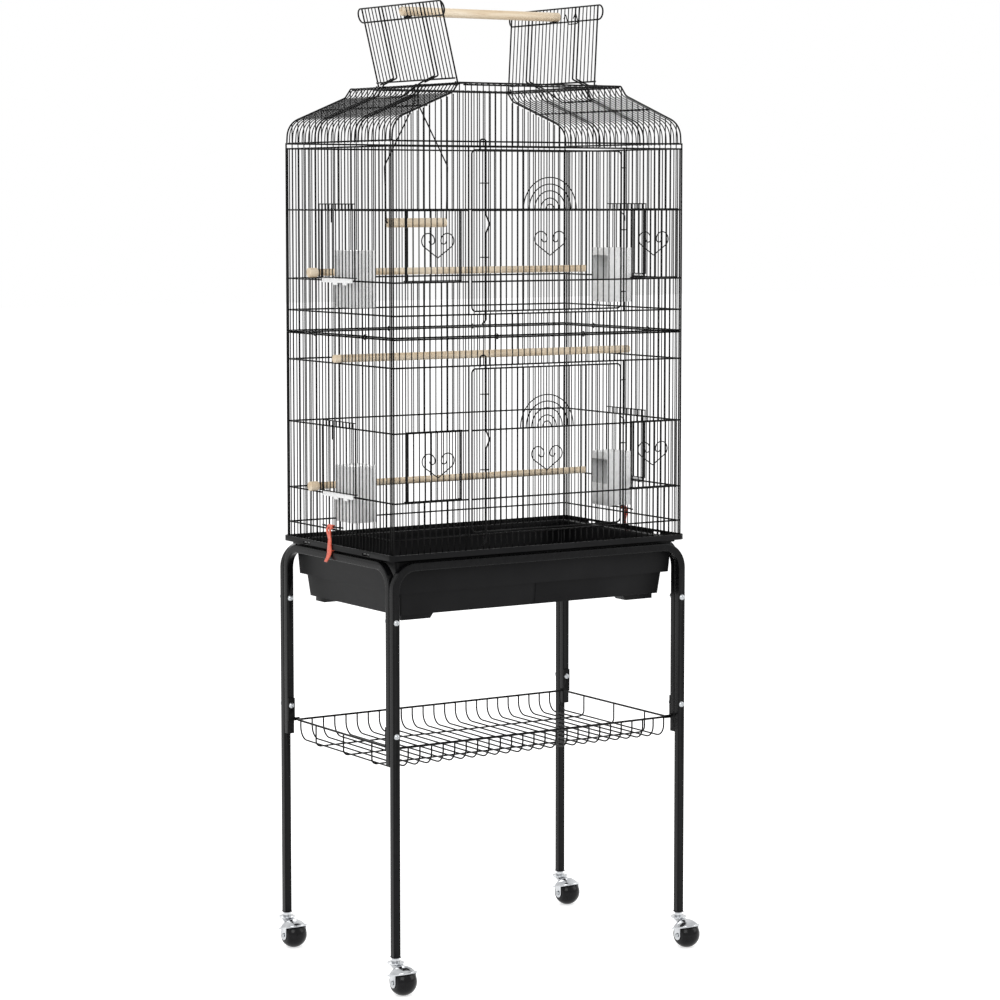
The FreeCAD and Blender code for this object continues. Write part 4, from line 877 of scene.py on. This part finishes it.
def basket_long_wire(basket, low, high):
    """A wire along the basket's floor, bent up at both ends."""
    radius = basket.wire / 2
    place = (low.y + high.y) / 2
    route = [(low.x + radius, high.z), (low.x + radius, low.z + radius), (high.x - radius, low.z + radius),
             (high.x - radius, high.z)]
    return wire([Vector((x, place, z)) for x, z in route], basket.wire, [basket.end_bend] * 2)


def basket_cross_wire(basket, low, high):
    """A wire across the basket, bent up to the rim at both ends."""
    radius = basket.wire / 2
    place = (low.x + high.x) / 2
    route = [(low.y + radius, high.z), (low.y + radius, low.z + radius), (high.y - radius, low.z + radius),
             (high.y - radius, high.z)]
    return wire([Vector((place, y, z)) for y, z in route], basket.wire, [basket.bend] * 2)


class CAGE_OT_mouldings(bpy.types.Operator):
    """Rounds the edges of the tray and the cups, and smooths the shading of the plugs"""
    bl_idname = "cage.mouldings"
    bl_label = "Mouldings"

    def execute(self, context):
        mouldings = context.scene.cage_mouldings
        softened_copy("base_tray", mouldings.tray_edge)
        softened_copy("caster_plugs")
        for name in frame["nodes"]:
            if slot_of(name) == "cup_plastic":
                softened_copy(name, mouldings.cup_edge)
        return {"FINISHED"}


class CAGE_OT_clips(bpy.types.Operator):
    """Moulds the two clips: an eye, a waved strip that narrows to a waist, and a tooth"""
    bl_idname = "cage.clips"
    bl_label = "Clips"

    def execute(self, context):
        for side, outward in (("left", -1), ("right", 1)):
            tray_clip(context.scene.cage_clips, side + "_tray_clip", outward)
        return {"FINISHED"}


def tray_clip(clips, node, outward):
    """One clip, drawn from its pivot out and down to the end of its tail."""
    low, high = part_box(node)
    outer_radius = clips.eye_hole / 2 + clips.eye_wall
    wall_side = min(low.x * outward, high.x * outward)
    tail_side = max(low.x * outward, high.x * outward)
    middle = (low.y + high.y) / 2
    pivot = Vector(((wall_side + outer_radius) * outward, middle, high.z - outer_radius))
    width = high.y - low.y
    drop = pivot.z - low.z
    flare = tail_side - wall_side - outer_radius - clips.strip / 2
    reach = Vector((flare * outward, width, -drop))
    hole_radius = clips.eye_hole / 2
    eye = [(hole_radius, 0.0), (outer_radius, 0.0), (outer_radius, width), (hole_radius, width),
           (hole_radius, 0.0)]
    barrel = lathe(eye, pivot - Vector((0, width / 2, 0)), ALONG_Y, EYE_STEPS)
    root = clip_point(pivot, reach, CLIP_STRIP[TOOTH_PLACE])
    half_tooth = Vector((0, width * TOOTH_WIDTH, clips.tooth)) / 2
    tip = Vector((wall_side * outward, root.y, root.z))
    tooth = block(Vector(map(min, root, tip)) - half_tooth, Vector(map(max, root, tip)) + half_tooth)
    works = [barrel, waved_strip(CLIP_STRIP, pivot, reach, clips.strip), tooth]
    works += [waved_strip(CLIP_FORK, pivot, reach, clips.strip, hand) for hand in (-1, 1)]
    place_piece(finish_mesh(merged(works), node, finish(slot_of(node))), node + "_waved", node)


def clip_point(pivot, reach, row, hand=1):
    """The point of one row of a clip's table."""
    out, aside, down = row[:3]
    return pivot + Vector((out * reach.x, hand * aside * reach.y, down * reach.z))


def waved_strip(rows, pivot, reach, thickness, hand=1):
    """A strip of a clip through the points of a table, on the given hand of its middle."""
    return strip([clip_point(pivot, reach, row, hand) for row in rows],
                 [row[-1] * reach.y for row in rows], thickness)


def strip(points, widths, thickness, steps=5):
    """A bmesh of a flat strip along a smooth line in the XZ plane, of changing width."""
    line = []
    spans = []
    for place in range(len(points) - 1):
        before = points[max(place - 1, 0)]
        after = points[min(place + 2, len(points) - 1)]
        start = points[place]
        end = points[place + 1]
        last = place == len(points) - 2
        for step in range(steps + last):
            share = step / steps
            # A Catmull-Rom curve: it runs through all the points without corners.
            line.append((2 * start + (end - before) * share
                         + (2 * before - 5 * start + 4 * end - after) * share ** 2
                         + (3 * start - before - 3 * end + after) * share ** 3) / 2)
            spans.append(widths[place] + (widths[place + 1] - widths[place]) * share)
    work = bmesh.new()
    rings = []
    for place, point in enumerate(line):
        along = (line[min(place + 1, len(line) - 1)] - line[max(place - 1, 0)]).normalized()
        out = along.cross(Vector((0, 1, 0))) * thickness / 2
        half = Vector((0, spans[place] / 2, 0))
        soft = half * STRIP_FLAT
        thin = out * STRIP_EDGE
        ring = [soft + out, half + thin, half - thin, soft - out]
        ring += [-corner for corner in ring]
        rings.append([work.verts.new(point + corner) for corner in ring])
    skin(work, rings)
    return work


class CAGE_OT_casters(bpy.types.Operator):
    """Makes the balls, the pressed hoods and the axles of the casters"""
    bl_idname = "cage.casters"
    bl_label = "Casters"

    def execute(self, context):
        casters = context.scene.cage_casters
        for name in frame["nodes"]:
            if name.endswith("_caster_ball"):
                rolling_ball(casters, name)
            elif name.endswith("_caster_hood"):
                softened_copy(name, casters.hood_edge)
            elif name.endswith("_caster_axle"):
                softened_copy(name)
        return {"FINISHED"}


def rolling_ball(casters, node):
    """A ball with two flat sides whose edges are rounded over."""
    low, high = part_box(node)
    middle = (low + high) / 2
    radius = casters.ball_diameter / 2
    flat = casters.ball_width / 2
    last = math.acos(flat / radius)
    edge = casters.ball_edge
    face = [(0.0, flat), (radius * math.sin(last) * HUB_SHARE, flat), (radius * math.sin(last - edge), flat)]
    profile = [(out, -along) for out, along in face]
    for step in range(BALL_RINGS + 1):
        angle = last + edge + (math.pi - 2 * last - 2 * edge) * step / BALL_RINGS
        profile.append((radius * math.sin(angle), -radius * math.cos(angle)))
    profile += face[::-1]
    work = lathe(profile, middle, Vector((1, 0, 0)), 2 * BALL_RINGS)
    place_piece(finish_mesh(work, node, finish(slot_of(node)), BALL_SMOOTH_ANGLE), node + "_turned", node)


class CAGE_OT_wood(bpy.types.Operator):
    """Rounds the ends and notches of the wood perches and their end caps"""
    bl_idname = "cage.wood"
    bl_label = "Perches"

    def execute(self, context):
        for name in ("roof_perch", "middle_perch", "swing_perch", "upper_perch", "lower_perch"):
            softened_copy(name, context.scene.cage_wood.end_edge)
        return {"FINISHED"}


class CAGE_PT_panel(bpy.types.Panel):
    """Lists the cage's pieces and settings"""
    bl_label = "Bird cage"
    bl_idname = "CAGE_PT_panel"
    bl_space_type = "VIEW_3D"
    bl_region_type = "UI"
    bl_category = "Cage"

    def draw(self, context):
        for name, kind in SETTINGS.items():
            group = getattr(context.scene, name)
            self.layout.label(text=kind.__doc__)
            for setting in kind.__annotations__:
                self.layout.prop(group, setting)
        for operator in OPERATORS:
            self.layout.operator(operator.bl_idname)


SETTINGS = {
    "cage_studio": CageStudio,
    "cage_wire": CageWire,
    "cage_stand": CageStand,
    "cage_basket": CageBasket,
    "cage_mouldings": CageMouldings,
    "cage_clips": CageClips,
    "cage_casters": CageCasters,
    "cage_wood": CageWood,
}
OPERATORS = (CAGE_OT_stage, CAGE_OT_finishes, CAGE_OT_wire, CAGE_OT_stand, CAGE_OT_basket, CAGE_OT_mouldings,
             CAGE_OT_clips, CAGE_OT_casters, CAGE_OT_wood)
CLASSES = tuple(SETTINGS.values()) + OPERATORS + (CAGE_PT_panel,)


def register():
    for each in CLASSES:
        bpy.utils.register_class(each)
    for name, kind in SETTINGS.items():
        setattr(bpy.types.Scene, name, bpy.props.PointerProperty(type=kind))


def unregister():
    for name in SETTINGS:
        delattr(bpy.types.Scene, name)
    for each in reversed(CLASSES):
        bpy.utils.unregister_class(each)


def main():
    register()
    bpy.ops.cage.stage()
    bpy.ops.cage.finishes()
    bpy.ops.cage.wire()
    bpy.ops.cage.stand()
    bpy.ops.cage.basket()
    bpy.ops.cage.mouldings()
    bpy.ops.cage.clips()
    bpy.ops.cage.casters()
    bpy.ops.cage.wood()


if __name__ == "__main__":
    main()
